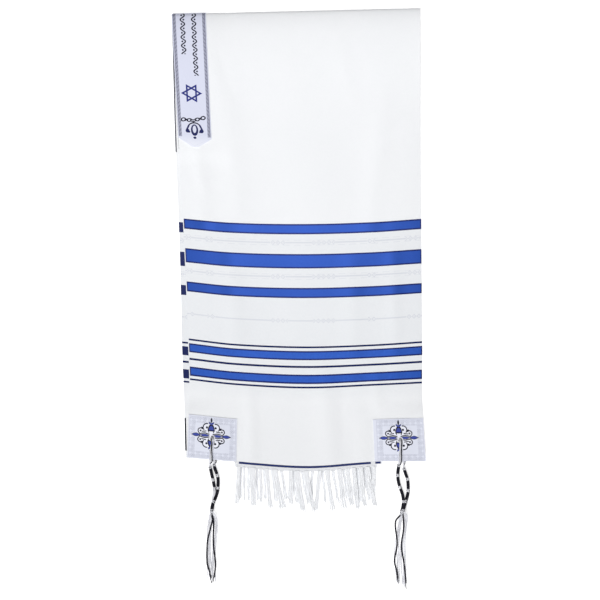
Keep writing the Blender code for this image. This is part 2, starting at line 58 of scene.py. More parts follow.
bpy.ops.mesh.primitive_plane_add(size=TABLE_SIZE)
table = bpy.context.object
table.name = "table_top"
for vert in table.data.vertices:
    vert.co.z = -TABLE_DROP
table_finish = bpy.data.materials.new("table_white")
table_finish.use_nodes = True
table_sockets = table_finish.node_tree.nodes["Principled BSDF"].inputs
table_sockets["Base Color"].default_value = (0.93, 0.93, 0.93, 1)
table_sockets["Roughness"].default_value = 0.9
table_sockets["Emission Color"].default_value = (1, 1, 1, 1)
table_sockets["Emission Strength"].default_value = TABLE_GLOW
table.data.materials.append(table_finish)

bpy.ops.object.light_add(type="SUN")
window = bpy.context.object
window.data.energy = WINDOW_POWER
window.data.angle = WINDOW_SOFTNESS
window.rotation_euler = (-Vector(WINDOW_SIDE)).to_track_quat("-Z", "Y").to_euler()

bpy.ops.object.light_add(type="AREA", location=LAMP_PLACE)
bpy.context.object.data.size = LAMP_SIZE
bpy.context.object.data.energy = LAMP_POWER

sky = bpy.data.worlds.new("studio")
sky.use_nodes = True
sky.node_tree.nodes["Background"].inputs["Color"].default_value = (1, 1, 1, 1)
sky.node_tree.nodes["Background"].inputs["Strength"].default_value = SKY_STRENGTH
bpy.context.scene.world = sky
bpy.context.scene.view_settings.view_transform = "Standard"

bpy.ops.object.camera_add(location=(0, VIEW_CENTRE_Y, CAMERA_HEIGHT))
camera = bpy.context.object
camera.data.angle = 2 * math.atan(VIEW_WIDTH / 2 / CAMERA_HEIGHT)
bpy.context.scene.camera = camera


# --- The cloth ---------------------------------------------------------------------------------
# One length of soft white plain weave, 457 mm wide and 1.7 m long, with blue satin bands woven in near
# each hem, folded once across. Places on its flat cut are given in metres: across from the neck edge,
# and along from the fold line, above 0 on the upper layer and below 0 on the lower one.

WIDTH = 0.457
HALF_LENGTH = 0.850
WALL = 0.0012
GAP = 0.0003
CLOTH_THICKNESS = 0.0006
NOSE_REACH = 0.040
NOSE_RISE = 0.0052
SLOPE_LENGTH = 0.115
FOLD_Y_AT_NECK_EDGE = 0.4230
FOLD_Y_AT_OUTER_EDGE = 0.4343
OUTER_EDGE_STRETCH = 1.001
LAYER_GAP = 0.0006
LAYER_SHIFT = 0.015
CROWN = 0.0032
CROWN_FULLNESS = 6
FOLD_RUNOUT = 0.030
PATCH_WIDTH = 0.094
PATCH_HEIGHT = 0.081
OUTER_PATCH_EXTRA = 0.0040
PATCH_WALL = 0.0010
EYELET_RADIUS = 0.0045
EYELET_ALONG = HALF_LENGTH - PATCH_HEIGHT / 2
BAND_WIDTH = PATCH_WIDTH * 2 / 3
BAND_SHOULDER = 0.239
BAND_TIP = 0.256
SEWN_LIFT = GAP + PATCH_WALL
RUN_LIFT = 0.0010 + GAP
RUN_PAST_EYELET = 0.008
LIFT_RUNOUT = 0.036
CORNER_CLEARANCE = 0.0006


def table_of(columns, *rows):
    """A short table: each row's values under the names of its columns."""
    row = namedtuple("Row", columns)
    return [row(*values) for values in rows]


EDGES = table_of(
    "distance upper_neck upper_outer lower_neck lower_outer",
    (0.000, -0.2406, 0.2256, -0.2406, 0.2256),
    (0.236, -0.2284, 0.2266, -0.2344, 0.2242),
    (0.462, -0.2168, 0.2280, -0.2256, 0.2260),
    (0.632, -0.2102, 0.2294, -0.2218, 0.2270),
    (0.730, -0.2078, 0.2296, -0.2182, 0.2272),
    (0.850, -0.2117, 0.2363, -0.2154, 0.2325),
)
UPPER_SLACK, LOWER_SLACK = table_of("near_fold at_hem", (0.9589, 0.9774), (0.9920, 0.9790))
BOWS = table_of(
    "distance neck_patch centre outer_patch",
    (0.000, 0.0000, 0.0000, 0.0000),
    (0.200, 0.0046, 0.0062, 0.0047),
    (0.395, 0.0078, 0.0104, 0.0067),
    (0.500, 0.0081, 0.0108, 0.0064),
    (0.625, 0.0090, 0.0124, 0.0070),
    (0.850, 0.0060, 0.0126, 0.0020),
)
BOW_SHARES = (0.0, 0.2, 0.5, 0.79, 1.0)
CREASE_COLUMNS = "across_1 along_1 across_2 along_2 half_width height"
CREASES = table_of(
    CREASE_COLUMNS,
    (0.095, -0.030, 0.108, 0.500, 0.022, 0.0020),
    (0.034, 0.190, 0.044, 0.480, 0.014, 0.0015),
    (0.405, 0.060, 0.342, 0.500, 0.022, 0.0024),
    (0.246, -0.040, 0.236, 0.740, 0.070, 0.0030),
    (0.089, 0.370, 0.095, 0.740, 0.020, 0.0019),
    (0.323, 0.370, 0.319, 0.740, 0.022, 0.0019),
    (0.401, 0.370, 0.405, 0.750, 0.014, 0.0013),
    (0.116, 0.620, 0.123, 0.930, 0.015, 0.0015),
    (0.262, 0.600, 0.278, 0.930, 0.022, 0.0021),
    (0.370, 0.620, 0.364, 0.930, 0.014, 0.0015),
)
CREASE_TAPER = 1.5


def smooth(share):
    """Rises softly from 0 to 1 as share does."""
    share = min(max(share, 0.0), 1.0)
    return share * share * (3 - 2 * share)


def curve_through(places, values, place):
    """A smooth curve through the values at their places."""
    last = len(places) - 2
    k = next((n for n in range(last) if place <= places[n + 1]), last)
    span = places[k + 1] - places[k]
    t = (place - places[k]) / span
    lean = [
        (values[min(n + 1, last + 1)] - values[max(n - 1, 0)])
        / (places[min(n + 1, last + 1)] - places[max(n - 1, 0)])
        for n in (k, k + 1)
    ]
    if t > 1:
        return values[k + 1] + lean[1] * (place - places[k + 1])
    return (
        (2 * t**3 - 3 * t**2 + 1) * values[k]
        + (t**3 - 2 * t**2 + t) * span * lean[0]
        + (3 * t**2 - 2 * t**3) * values[k + 1]
        + (t**3 - t**2) * span * lean[1]
    )


EDGE_COLUMNS, BOW_COLUMNS = (dict(zip(rows[0]._fields, zip(*rows))) for rows in (EDGES, BOWS))


def side_edges(along):
    """Where this layer's neck edge and outer edge lie, at a distance from the fold."""
    level = "upper" if along >= 0 else "lower"
    return [
        curve_through(EDGE_COLUMNS["distance"], EDGE_COLUMNS[f"{level}_{side}"], abs(along))
        for side in ("neck", "outer")
    ]


def past(value, edge):
    """1 inside an edge, falling softly to 0 past it."""
    return 1 - smooth((value - edge) / LIFT_RUNOUT)


def corner_share(across, along):
    """1 over the corner patches, falling softly to 0 round them."""
    aside = min(across, WIDTH - across)
    return past(aside, PATCH_WIDTH) * past(HALF_LENGTH - abs(along), PATCH_HEIGHT)


def run_share(across, along):
    """1 over the threads that run from each eyelet to the hem, falling to 0 at the patch's sides."""
    aside = abs(min(across, WIDTH - across) - PATCH_WIDTH / 2) / (PATCH_WIDTH / 2)
    if aside >= 1:
        return 0.0
    reach = past(HALF_LENGTH - abs(along), PATCH_HEIGHT / 2 + RUN_PAST_EYELET)
    return math.cos(aside * math.pi / 2) ** 2 * reach


def lower_lift(across, along):
    """How far what is sewn under the lower layer, and the threads there, hold it off the table."""
    band = past(across, BAND_WIDTH) * past(abs(along), BAND_TIP)
    return SEWN_LIFT * max(band, corner_share(across, along)) + RUN_LIFT * run_share(across, along)


def crease_height(creases, across, along):
    """The sum of the soft ridges and troughs at a place."""
    total = 0.0
    for crease in creases:
        run = (crease.across_2 - crease.across_1, crease.along_2 - crease.along_1)
        offset = (across - crease.across_1, along - crease.along_1)
        share = (offset[0] * run[0] + offset[1] * run[1]) / (run[0] ** 2 + run[1] ** 2)
        share = min(max(share, 0.0), 1.0)
        distance = math.hypot(offset[0] - share * run[0], offset[1] - share * run[1])
        taper = math.sin(math.pi * share) ** CREASE_TAPER
        total += crease.height * taper * math.exp(-((distance / crease.half_width) ** 2))
    return total


def upper_height(across, along):
    """The height of the upper layer's middle, away from the fold."""
    under = across + (LAYER_SHIFT if across > WIDTH / 2 else -LAYER_SHIFT)
    under = min(max(under, 0.0), WIDTH)
    corner = corner_share(across, along)
    base = WALL / 2 + WALL + LAYER_GAP + lower_lift(under, along)
    base += (RUN_LIFT + CORNER_CLEARANCE) * corner + RUN_LIFT * run_share(across, along)
    crown = CROWN * (1 - abs(2 * across / WIDTH - 1) ** CROWN_FULLNESS)
    folds = crease_height(CREASES, across, along) * past(-min(across, WIDTH - across), -FOLD_RUNOUT)
    return base + crown * (1 - corner) + folds * (1 - corner)


NOSE_STEPS = 180
NOSE_LENGTHS = [0.0]
for step in range(NOSE_STEPS):
    angle = (step + 0.5) / NOSE_STEPS * math.pi / 2
    piece_of_arc = math.hypot(NOSE_REACH * math.sin(angle), NOSE_RISE * math.cos(angle))
    NOSE_LENGTHS.append(NOSE_LENGTHS[-1] + piece_of_arc * math.pi / 2 / NOSE_STEPS)
NOSE_LENGTH = NOSE_LENGTHS[-1]


def nose_angle(distance):
    """How far round the fold's quarter ellipse a distance from its tip reaches."""
    step = next(n for n in range(NOSE_STEPS) if distance <= NOSE_LENGTHS[n + 1])
    share = (distance - NOSE_LENGTHS[step]) / (NOSE_LENGTHS[step + 1] - NOSE_LENGTHS[step])
    return (step + share) / NOSE_STEPS * math.pi / 2


def weft_bow(share, distance):
    """How far a thread of the weft bows towards the hem at a share of the width."""
    inner = [
        curve_through(BOW_COLUMNS["distance"], BOW_COLUMNS[name], distance)
        for name in ("neck_patch", "centre", "outer_patch")
    ]
    return curve_through(BOW_SHARES, (0.0, *inner, 0.0), share)


def middle(across, along):
    """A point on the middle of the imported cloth's wall."""
    distance = abs(along)
    neck, outer = side_edges(along)
    share = across / WIDTH
    x = neck + (outer - neck) * share
    slack = UPPER_SLACK if along >= 0 else LOWER_SLACK
    neck_stretch = slack.near_fold + (slack.at_hem - slack.near_fold) * distance / HALF_LENGTH
    stretch = neck_stretch + (OUTER_EDGE_STRETCH - neck_stretch) * share
    bow = weft_bow(share, distance)
    fold_y = FOLD_Y_AT_NECK_EDGE + (FOLD_Y_AT_OUTER_EDGE - FOLD_Y_AT_NECK_EDGE) * share
    floor = WALL / 2 + lower_lift(across, -distance)
    if distance < NOSE_LENGTH:
        angle = nose_angle(distance)
        back = NOSE_REACH * (1 - math.cos(angle))
        rise = NOSE_RISE * math.sin(angle)
        return Vector((x, fold_y - back - bow, floor + NOSE_RISE + (rise if along > 0 else -rise)))
    back = NOSE_REACH + (distance - NOSE_LENGTH) * stretch
    if along < 0:
        return Vector((x, fold_y - back - bow, floor))
    slope = math.exp(-(((distance - NOSE_LENGTH) / SLOPE_LENGTH) ** 2))
    top = floor + 2 * NOSE_RISE
    return Vector((x, fold_y - back - bow, top * slope + upper_height(across, along) * (1 - slope)))


def on_cloth(across, along, out=0.0):
    """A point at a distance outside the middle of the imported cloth's wall, or inside it below zero."""
    step = 0.0005
    across_way = middle(across + step, along) - middle(across - step, along)
    along_way = middle(across, along + step) - middle(across, along - step)
    return middle(across, along) - across_way.cross(along_way).normalized() * out


CORNERS = table_of("name layer start end eyelet", *[
    (f"{level}_{side}", layer, start, end, eyelet)
    for level, layer in (("upper", 1), ("lower", -1))
    for side, start, end, eyelet in (
        ("left", 0.0, PATCH_WIDTH, PATCH_WIDTH / 2),
        ("right", WIDTH - PATCH_WIDTH - OUTER_PATCH_EXTRA, WIDTH, WIDTH - PATCH_WIDTH / 2),
    )
])
HOLE_RIM_REACH = 2.2
RIPPLE_ACROSS, RIPPLE_ALONG, RIPPLE_SEED = 22, 9, 1.5
SMOOTH_ANGLE = math.radians(40)


def lay_out(name, columns, rows, low, high):
    """A flat grid of cloth between two corners of the cut, each given as across and along."""
    bpy.ops.mesh.primitive_grid_add(x_subdivisions=columns, y_subdivisions=rows, size=1)
    cut = bpy.context.object
    cut.name = name
    for vert in cut.data.vertices:
        vert.co.x = low[0] + (vert.co.x + 0.5) * (high[0] - low[0])
        vert.co.y = low[1] + (vert.co.y + 0.5) * (high[1] - low[1])
    return cut


def span_on(layer, near_fold, near_hem):
    """The low and high ends, along the cut, of a piece that lies on one layer."""
    return sorted((layer * near_fold, layer * near_hem))


def open_eyelet(cut, corner):
    """Cuts a corner's round hole in a flat piece."""
    centre = Vector((corner.eyelet, corner.layer * EYELET_ALONG, 0))
    bpy.context.view_layer.objects.active = cut
    bpy.ops.object.mode_set(mode="EDIT")
    bpy.ops.mesh.select_mode(type="FACE")
    bpy.ops.mesh.select_all(action="DESELECT")
    bpy.ops.object.mode_set(mode="OBJECT")
    for face in cut.data.polygons:
        face.select = (face.center - centre).length < EYELET_RADIUS
    bpy.ops.object.mode_set(mode="EDIT")
    bpy.ops.mesh.delete(type="FACE")
    bpy.ops.mesh.select_all(action="DESELECT")
    bpy.ops.mesh.select_mode(type="EDGE")
    bpy.ops.mesh.select_non_manifold()
    bpy.ops.object.mode_set(mode="OBJECT")
    for vert in cut.data.vertices:
        away = vert.co - centre
        if vert.select and away.length < EYELET_RADIUS * HOLE_RIM_REACH:
            vert.co = centre + away.normalized() * EYELET_RADIUS


def chart(cut, corner=None):
    """Keeps each point's place in metres, on the cut or about a corner's eyelet, as the pattern map."""
    chart_map = cut.data.uv_layers.active or cut.data.uv_layers.new()
    chart_map.name = "cut"
    for loop in cut.data.loops:
        across, along, _ = cut.data.vertices[loop.vertex_index].co
        if corner:
            across, along = across - corner.eyelet, EYELET_ALONG - abs(along)
        chart_map.data[loop.index].uv = (across, along)


def bend(cut, out, wander=0.0):
    """Carries a flat piece on to the folded cloth, its own height counted outwards from `out`."""
    for vert in cut.data.vertices:
        spot = Vector((vert.co.x * RIPPLE_ACROSS, vert.co.y * RIPPLE_ALONG, RIPPLE_SEED))
        ripple = noise.noise(spot) * wander
        vert.co = on_cloth(vert.co.x, vert.co.y, out + vert.co.z + ripple)
        vert.co.z = max(vert.co.z, 0.0)
    cut.data.flip_normals()


def thicken(piece, thickness):
    """Gives a bent piece its thickness, outwards from the fold, or inwards below zero."""
    bpy.ops.object.modifier_add(type="SOLIDIFY")
    piece.modifiers[-1].thickness = abs(thickness)
    piece.modifiers[-1].offset = math.copysign(1, thickness)
    bpy.ops.object.modifier_apply(modifier=piece.modifiers[-1].name)
    bpy.ops.object.shade_smooth_by_angle(angle=SMOOTH_ANGLE)


def dress(piece, finish):
    """Gives a piece its finish, and its place on the shawl's one body."""
    piece.data.materials.append(finish.material)
    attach(piece, "root")


def fit(piece, out, thickness, finish, wander=0.0, corner=None):
    """Carries a piece from the flat cut to the folded shawl and finishes it."""
    chart(piece, corner)
    bend(piece, out, wander)
    if thickness:
        thicken(piece, thickness)
    dress(piece, finish)


def math_node(operation):
    """A method that adds one Math node, fed by the value and then by what it is given."""
    def add_node(value, *others):
        inputs = dict(enumerate((value, *others)))
        return value.finish.node("ShaderNodeMath", {"operation": operation}, inputs)
    return add_node


class Value:
    """A socket of a finish's nodes. Sums on it add Math nodes."""

    def __init__(self, finish, socket):
        self.finish = finish
        self.socket = socket

    __add__ = __radd__ = math_node("ADD")
    __sub__ = math_node("SUBTRACT")
    __mul__ = __rmul__ = math_node("MULTIPLY")
    __truediv__ = math_node("DIVIDE")
    __mod__ = math_node("FLOORED_MODULO")
    __pow__ = math_node("POWER")
    __abs__ = math_node("ABSOLUTE")
    __lt__ = math_node("LESS_THAN")
    __gt__ = math_node("GREATER_THAN")
    times_and_add = math_node("MULTIPLY_ADD")
    sine = math_node("SINE")
    most = math_node("MAXIMUM")
    least = math_node("MINIMUM")

    def __rsub__(self, other):
        return self.times_and_add(-1, other)

    def within(self, low, high):
        """1 between two values."""
        return (self > low) * (self < high)


class Finish:
    """A cloth or yarn finish, with one method that makes its nodes."""

    def __init__(self, name, roughness, sheen, gloss=0.35):
        self.material = bpy.data.materials.new(name)
        self.material.use_nodes = True
        self.tree = self.material.node_tree
        self.shader = self.tree.nodes["Principled BSDF"]
        self.shader.inputs["Roughness"].default_value = roughness
        self.shader.inputs["Sheen Weight"].default_value = sheen
        self.shader.inputs["Specular IOR Level"].default_value = gloss

    def node(self, kind, settings=None, inputs=None, output=0):
        node = self.tree.nodes.new(kind)
        for name, setting in (settings or {}).items():
            setattr(node, name, setting)
        for name, value in (inputs or {}).items():
            if isinstance(value, Value):
                self.tree.links.new(value.socket, node.inputs[name])
            else:
                node.inputs[name].default_value = value
        return Value(self, node.outputs[output])

    def mix(self, share, under, over):
        """Lays one colour over another by a share from 0 to 1."""
        return self.node("ShaderNodeMix", {"data_type": "RGBA"}, {0: share, 6: under, 7: over}, 2)

    def cut_place(self):
        """Where a point lies on its flat cut, in metres."""
        chart_map = self.node("ShaderNodeUVMap", {"uv_map": "cut"})
        parts = self.tree.nodes.new("ShaderNodeSeparateXYZ")
        self.tree.links.new(chart_map.socket, parts.inputs[0])
        return Value(self, parts.outputs[0]), Value(self, parts.outputs[1])

    def noise(self, scale, detail=2.0):
        """Even noise about 0.5, with its scale counted per metre."""
        place = self.node("ShaderNodeTexCoord", output="Object")
        return self.node("ShaderNodeTexNoise", None, {"Vector": place, "Scale": scale, "Detail": detail})

    def set(self, socket, value):
        self.tree.links.new(value.socket, self.shader.inputs[socket])

    def bump(self, height, distance):
        """Raises the surface by a height from 0 to 1 times a distance in metres."""
        self.set("Normal", self.node("ShaderNodeBump", None, {"Height": height, "Distance": distance}))


def sunlit(red, green, blue):
    """A colour given as it looks on a screen, from 0 to 255, on the shader's even scale."""
    return (*[((part / 255 + 0.055) / 1.055) ** 2.4 for part in (red, green, blue)], 1)


THREAD_PITCH = 0.0009
WEAVE_RELIEF = 0.00016
SLUB_GRAIN, CLOUD_GRAIN = 260.0, 9.0
SATIN_SHINE = 0.30
STRIPE_RAGGEDNESS, HEM_RAGGEDNESS = 0.00035, 0.0003
STRIPES = table_of(
    "start end kind",
    (0.3951, 0.4146, "satin"),
    (0.4518, 0.4792, "satin"),
    (0.5156, 0.5347, "satin"),
    (0.6249, 0.6281, "line"),
    (0.6335, 0.6508, "satin"),
    (0.6615, 0.6655, "line"),
    (0.6782, 0.6956, "satin"),
    (0.7006, 0.7039, "line"),
)
SATIN_EDGE = 0.0029
SELVEDGE = 0.0016
# Navy ends of the satin stripes; the longer one, at the lower layer's neck edge, is painted shadow.
STRIPE_END, SHADOWED_STRIPE_END = 0.0021, 0.0125
NARROW_FROM = 0.6
BLUE = sunlit(38, 78, 168)
# Painted sheen: a lighter blue for the narrow stripes nearer the hem.
PAINTED_SHEEN_BLUE = sunlit(45, 92, 189)
BLUE_SHADE = sunlit(32, 68, 153)
NAVY = sunlit(20, 31, 80)
RIM_NAVY = sunlit(22, 35, 98)
WHITE = sunlit(240, 241, 243)
SHADOW_WHITE = sunlit(230, 232, 235)
# Painted shade: a darker, bluer white laid over the zone of the satin stripes near each hem, and where
# that zone starts and ends along the cloth.
PAINTED_SHADE_WHITE = sunlit(214, 218, 223)
SHADE_START, SHADE_END = 0.3900, 0.7300
SHADE_RISE, SHADE_FALL = 60, 30
WOVEN_ROWS = (0.4303, 0.4948, 0.5771)
ROW_GREY = sunlit(204, 207, 216)
ROW_LINE = 0.0026
ROW_SHIFT = 0.0021
LOZENGE_STEP, LOZENGE_RISE = 0.0098, 0.0044
LOZENGE_HOLLOW, LOZENGE_DOT = 0.62, 0.26
TICKED_ROWS = 2
TICK_OFF, TICK_LINE, TICK_STEP, TICK_LENGTH = 0.0046, 0.0012, 0.0212, 0.0130
MOTIFS = table_of(
    "start end",
    (0.004, 0.014), (0.040, 0.056), (0.164, 0.196), (0.246, 0.290), (0.352, 0.368), (0.426, 0.454),
)


def plain_weave(across, along):
    """The small hills where warp and weft threads cross over each other."""
    turn = math.pi / THREAD_PITCH
    return abs((across * turn).sine() * (along * turn).sine())


def weave_rows(across, distance):
    """The tone-on-tone rows: fine lines broken by runs of hollow, dotted lozenges, as a share."""
    runs = sum(across.within(motif.start, motif.end) for motif in MOTIFS)
    drawn = 0.0
    for number, centre in enumerate(WOVEN_ROWS):
        off = abs(distance - centre)
        step = abs((across + ROW_SHIFT * number) % LOZENGE_STEP - LOZENGE_STEP / 2)
        reach = step / (LOZENGE_STEP / 2) + off / LOZENGE_RISE
        lozenges = reach.within(LOZENGE_HOLLOW, 1.0).most(reach < LOZENGE_DOT) * runs
        lines = (off < ROW_LINE / 2) * (1 - runs) * 0.8
        if number < TICKED_ROWS:
            ticks = (abs(off - TICK_OFF) < TICK_LINE / 2) * ((across % TICK_STEP) < TICK_LENGTH)
            lines = lines.most(ticks * 0.5)
        drawn = lozenges.most(lines) + drawn
    return drawn.least(1.0)


def weave_cloth():
    """White plain weave with its slubs, satin stripes, navy lines and tone-on-tone rows."""
    finish = Finish("woven_white_cloth", roughness=0.82, sheen=0.18, gloss=0.15)
    across, along = finish.cut_place()
    weave = plain_weave(across, along)
    distance = abs(along) + (weave - 0.5) * STRIPE_RAGGEDNESS
    # Painted shade over the stripe zone near each hem: it rises past the zone's start and falls away
    # before its end.
    painted_shade = ((distance - SHADE_START) * SHADE_RISE).least((SHADE_END - distance) * SHADE_FALL)
    painted_shade = painted_shade.most(0.0).least(1.0)
    satin = line = rim = 0.0
    for stripe in STRIPES:
        inside = distance.within(stripe.start, stripe.end)
        if stripe.kind == "line":
            line = line + inside
        else:
            satin = satin + inside
            heart = distance.within(stripe.start + SATIN_EDGE, stripe.end - SATIN_EDGE)
            rim = rim + inside * (1 - heart)
    stripe_end = (across < SELVEDGE + STRIPE_END).most((WIDTH - across) < STRIPE_END)
    rim = rim.most(satin * stripe_end)
    # Painted shadow: on the lower layer the satin stripes turn navy for their first 12.5 mm from the
    # neck edge, by the upper layer's edge.
    painted_shadow_end = satin * (across < SHADOWED_STRIPE_END) * (along < 0)
    past_selvedge = across > (along > 0) * SELVEDGE
    satin, line = satin * past_selvedge, line * past_selvedge
    rows = weave_rows(across, distance)
    slub = finish.noise(SLUB_GRAIN)
    cloud = finish.noise(CLOUD_GRAIN)
    # Clouds and slubs vary the white at random; the weave's hollows are darkened as painted shade.
    white = finish.mix(cloud * 0.25 + slub * 0.35 + (1 - weave) * 0.22, WHITE, SHADOW_WHITE)
    white = finish.mix(painted_shade * (0.24 + slub * 0.18), white, PAINTED_SHADE_WHITE)
    white = finish.mix(rows * (0.45 + cloud * 0.6), white, ROW_GREY)
    # Painted sheen: the narrow stripes past NARROW_FROM are painted a lighter blue than the wide ones.
    body = finish.mix(distance > NARROW_FROM, BLUE, PAINTED_SHEEN_BLUE)
    blue = finish.mix(rim, finish.mix(slub * 0.7, body, BLUE_SHADE), RIM_NAVY)
    # The navy lines are part of the weave; the navy stripe ends on the lower layer are painted shadow.
    blue = finish.mix(line.most(painted_shadow_end), blue, NAVY)
    finish.set("Base Color", finish.mix((satin + line).least(1.0), white, blue))
    finish.set("Roughness", 0.84 - (satin * 0.42).most(rows * 0.25))
    finish.set("Metallic", satin * SATIN_SHINE)
    rib = abs((across * (math.pi / THREAD_PITCH)).sine())
    finish.bump((weave + slub * 0.4) * (1 - satin * 0.94) + satin * (rib * 0.06 + 0.9), WEAVE_RELIEF)
    return finish


CLOTH_COLUMNS, CLOTH_ROWS = 92, 342
ROW_CROWDING = 1.3
CLOTH_WANDER = 0.0002
SMALL_CREASES = table_of(
    CREASE_COLUMNS,
    (0.070, 0.030, 0.118, 0.200, 0.009, -0.0005),
    (0.294, 0.000, 0.336, 0.210, 0.014, 0.0005),
    (0.378, 0.250, 0.450, 0.180, 0.008, 0.0006),
    (0.014, 0.285, 0.056, 0.400, 0.008, -0.0005),
    (0.301, 0.670, 0.295, 0.870, 0.010, -0.0006),
)

cloth = lay_out("shawl_cloth", CLOTH_COLUMNS, CLOTH_ROWS, (0, -1), (WIDTH, 1))
for vert in cloth.data.vertices:
    vert.co.y = math.copysign(abs(vert.co.y) ** ROW_CROWDING * HALF_LENGTH, vert.co.y)
for corner in CORNERS:
    open_eyelet(cloth, corner)
for vert in cloth.data.vertices:
    vert.co.z = crease_height(SMALL_CREASES, vert.co.x, vert.co.y)
fit(cloth, WALL / 2, -CLOTH_THICKNESS, weave_cloth(), CLOTH_WANDER)
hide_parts("body_cloth")


# --- The neck band -----------------------------------------------------------------------------
# A woven satin ribbon, 63 mm wide with a blunt point at each end, sewn along the neck edge on the
# right side, from one layer round the fold to the other. Its ornament is woven in grey and blue.

BAND_OUT = WALL / 2 + 0.00005
BAND_THICKNESS = 0.0008
BAND_COLUMNS, BAND_ROWS = 24, 170
LILAC = sunlit(210, 213, 229)
LILAC_SHADE = sunlit(199, 202, 222)
INK = sunlit(24, 25, 44)
INK_BLUE = sunlit(26, 32, 84)
BORDER_GREY = sunlit(138, 140, 160)
STAR_BLUE = sunlit(32, 40, 108)
STAR_LIGHT = sunlit(48, 58, 142)
STAR_ACROSS, STAR_ALONG, STAR_RADIUS, STAR_LINE = 0.0293, 0.1526, 0.0168, 0.0031
BUD_ACROSS, BUD_ALONG = 0.0315, 0.2190
BOW_LOOPS = table_of(
    "x y half_x half_y line",
    (0.0186, -0.0178, 0.0038, 0.0030, 0.34), (0.0078, -0.0158, 0.0034, 0.0027, 0.36),
)
BOW_STROKES = table_of(
    "start end line",
    ((0.0148, -0.0192), (0.0106, -0.0140), 0.0020),
    ((0.0146, -0.0154), (0.0108, -0.0182), 0.0018),
    ((0.0054, -0.0142), (0.0, -0.0120), 0.0021),
    ((0.0050, -0.0180), (0.0, -0.0152), 0.0018),
)
BOW_ASKEW, BOW_LEAN = 0.0014, 0.11
VINE_STEP, VINE_SWAY, VINE_LINE, BERRY_RADIUS = 0.0164, 0.0037, 0.0024, 0.0017
VINE_START = 0.0010
VINES = table_of("across end", (0.0192, VINE_STEP * 4.75), (0.0398, VINE_STEP * 7.25))
BORDER_NEAR, BORDER_FAR, BORDER_END, RAIL_FAR = 0.0015, 0.0070, 0.2360, 0.0027
DASH_STEP, DASH_LENGTH, DASH_LEAN = 0.0076, 0.0030, 1.2
WORN_FROM, WORN_RISE = 0.2320, 60
SATIN_GRAIN = 900.0
TWILL_PITCH = 0.0008
TWILL_RELIEF = 0.0001


def together(*shapes):
    """Drawn shapes taken as one: the most that any of them has at a point."""
    return reduce(Value.most, shapes)


def away_from(x, y, centre_x, centre_y, half_x=1.0, half_y=1.0):
    """The distance from a centre, or the share of the way out to an oval round it."""
    return (((x - centre_x) / half_x) ** 2 + ((y - centre_y) / half_y) ** 2) ** 0.5


def ring(x, y, centre_x, centre_y, radius, line):
    """A round line of a width about a centre."""
    return abs(away_from(x, y, centre_x, centre_y) - radius) < line / 2


def stroke(x, y, start, end, line):
    """A straight line of a width, with round ends."""
    run_x, run_y = end[0] - start[0], end[1] - start[1]
    share = ((x - start[0]) * run_x + (y - start[1]) * run_y) / (run_x**2 + run_y**2)
    share = share.most(0.0).least(1.0)
    off_x, off_y = x - start[0] - share * run_x, y - start[1] - share * run_y
    return (off_x**2 + off_y**2) ** 0.5 < line / 2


def star(x, y):
    """The outline of a six-pointed star: two triangles, each three straight sides."""
    half = math.sqrt(3) / 2
    outline = 0.0
    for turn in (1, -1):
        sides = (x * -turn).most(x * (turn / 2) + y * half).most(x * (turn / 2) - y * half)
        outline = (abs(sides - STAR_RADIUS / 2) < STAR_LINE / 2) + outline
    return outline.least(1.0)


def bud(x, y):
    """A hanging bud between two curled leaves, under a knotted bow that sits a little askew."""
    bow_x, bow_y = abs(x + BOW_ASKEW), y + x * BOW_LEAN
    loops = [abs(away_from(bow_x, bow_y, *loop[:4]) - 1) < loop.line for loop in BOW_LOOPS]
    ties = [stroke(bow_x, bow_y, *tie) for tie in BOW_STROKES]
    x = abs(x)
    collar = ring(x, y, 0.0, 0.0040, 0.0138, 0.0024) * (y < -0.0048)
    rim = away_from(x, y, 0.0, 0.0042, 0.0068, 0.0110)
    hollow = away_from(x, y, 0.0, 0.0026, 0.0034, 0.0070)
    leaf = stroke(x, y, (0.0104, -0.0046), (0.0142, 0.0030), 0.0032)
    curl = stroke(x, y, (0.0130, 0.0078), (0.0100, 0.0076), 0.0036)
    knob = away_from(x, y, 0.0132, 0.0058) < 0.0038
    dot = away_from(x, y, 0.0, 0.0188, 0.0029, 0.0023) < 1
    return together(*loops, *ties, collar), together((rim < 1) * (hollow > 1), leaf, knob, curl, dot)


def vine(x, y):
    """A stem that sways from side to side up a column, with a berry in each bend."""
    turn = math.tau / VINE_STEP
    lean = (y * turn + math.pi / 2).sine() * (VINE_SWAY * turn)
    stem = abs(x - (y * turn).sine() * VINE_SWAY) / (lean**2 + 1) ** 0.5 < VINE_LINE / 2
    place = y % VINE_STEP
    left = away_from(x, place, -VINE_SWAY / 2, VINE_STEP / 4) < BERRY_RADIUS
    right = away_from(x, place, VINE_SWAY / 2, VINE_STEP * 3 / 4) < BERRY_RADIUS
    return together(stem, left, right)


def satin_finish(name, colour, shade):
    """A satin's finish, the sheen that runs unevenly over it and its ground colour."""
    finish = Finish(name, roughness=0.46, sheen=0.03, gloss=0.18)
    satin = finish.noise(SATIN_GRAIN, detail=1.0)
    return finish, satin, finish.mix(satin * 0.6, colour, shade)


def satin_face(finish, drawn, diagonal, satin, ink, relief):
    """Gives satin its drawn colours and fine twill. The ornament is a little rougher."""
    twill = abs((diagonal * (math.tau / TWILL_PITCH)).sine())
    finish.set("Base Color", drawn)
    finish.set("Roughness", 0.42 + ink * 0.15 + satin * 0.12)
    finish.bump(twill * 0.4 + relief, TWILL_RELIEF)


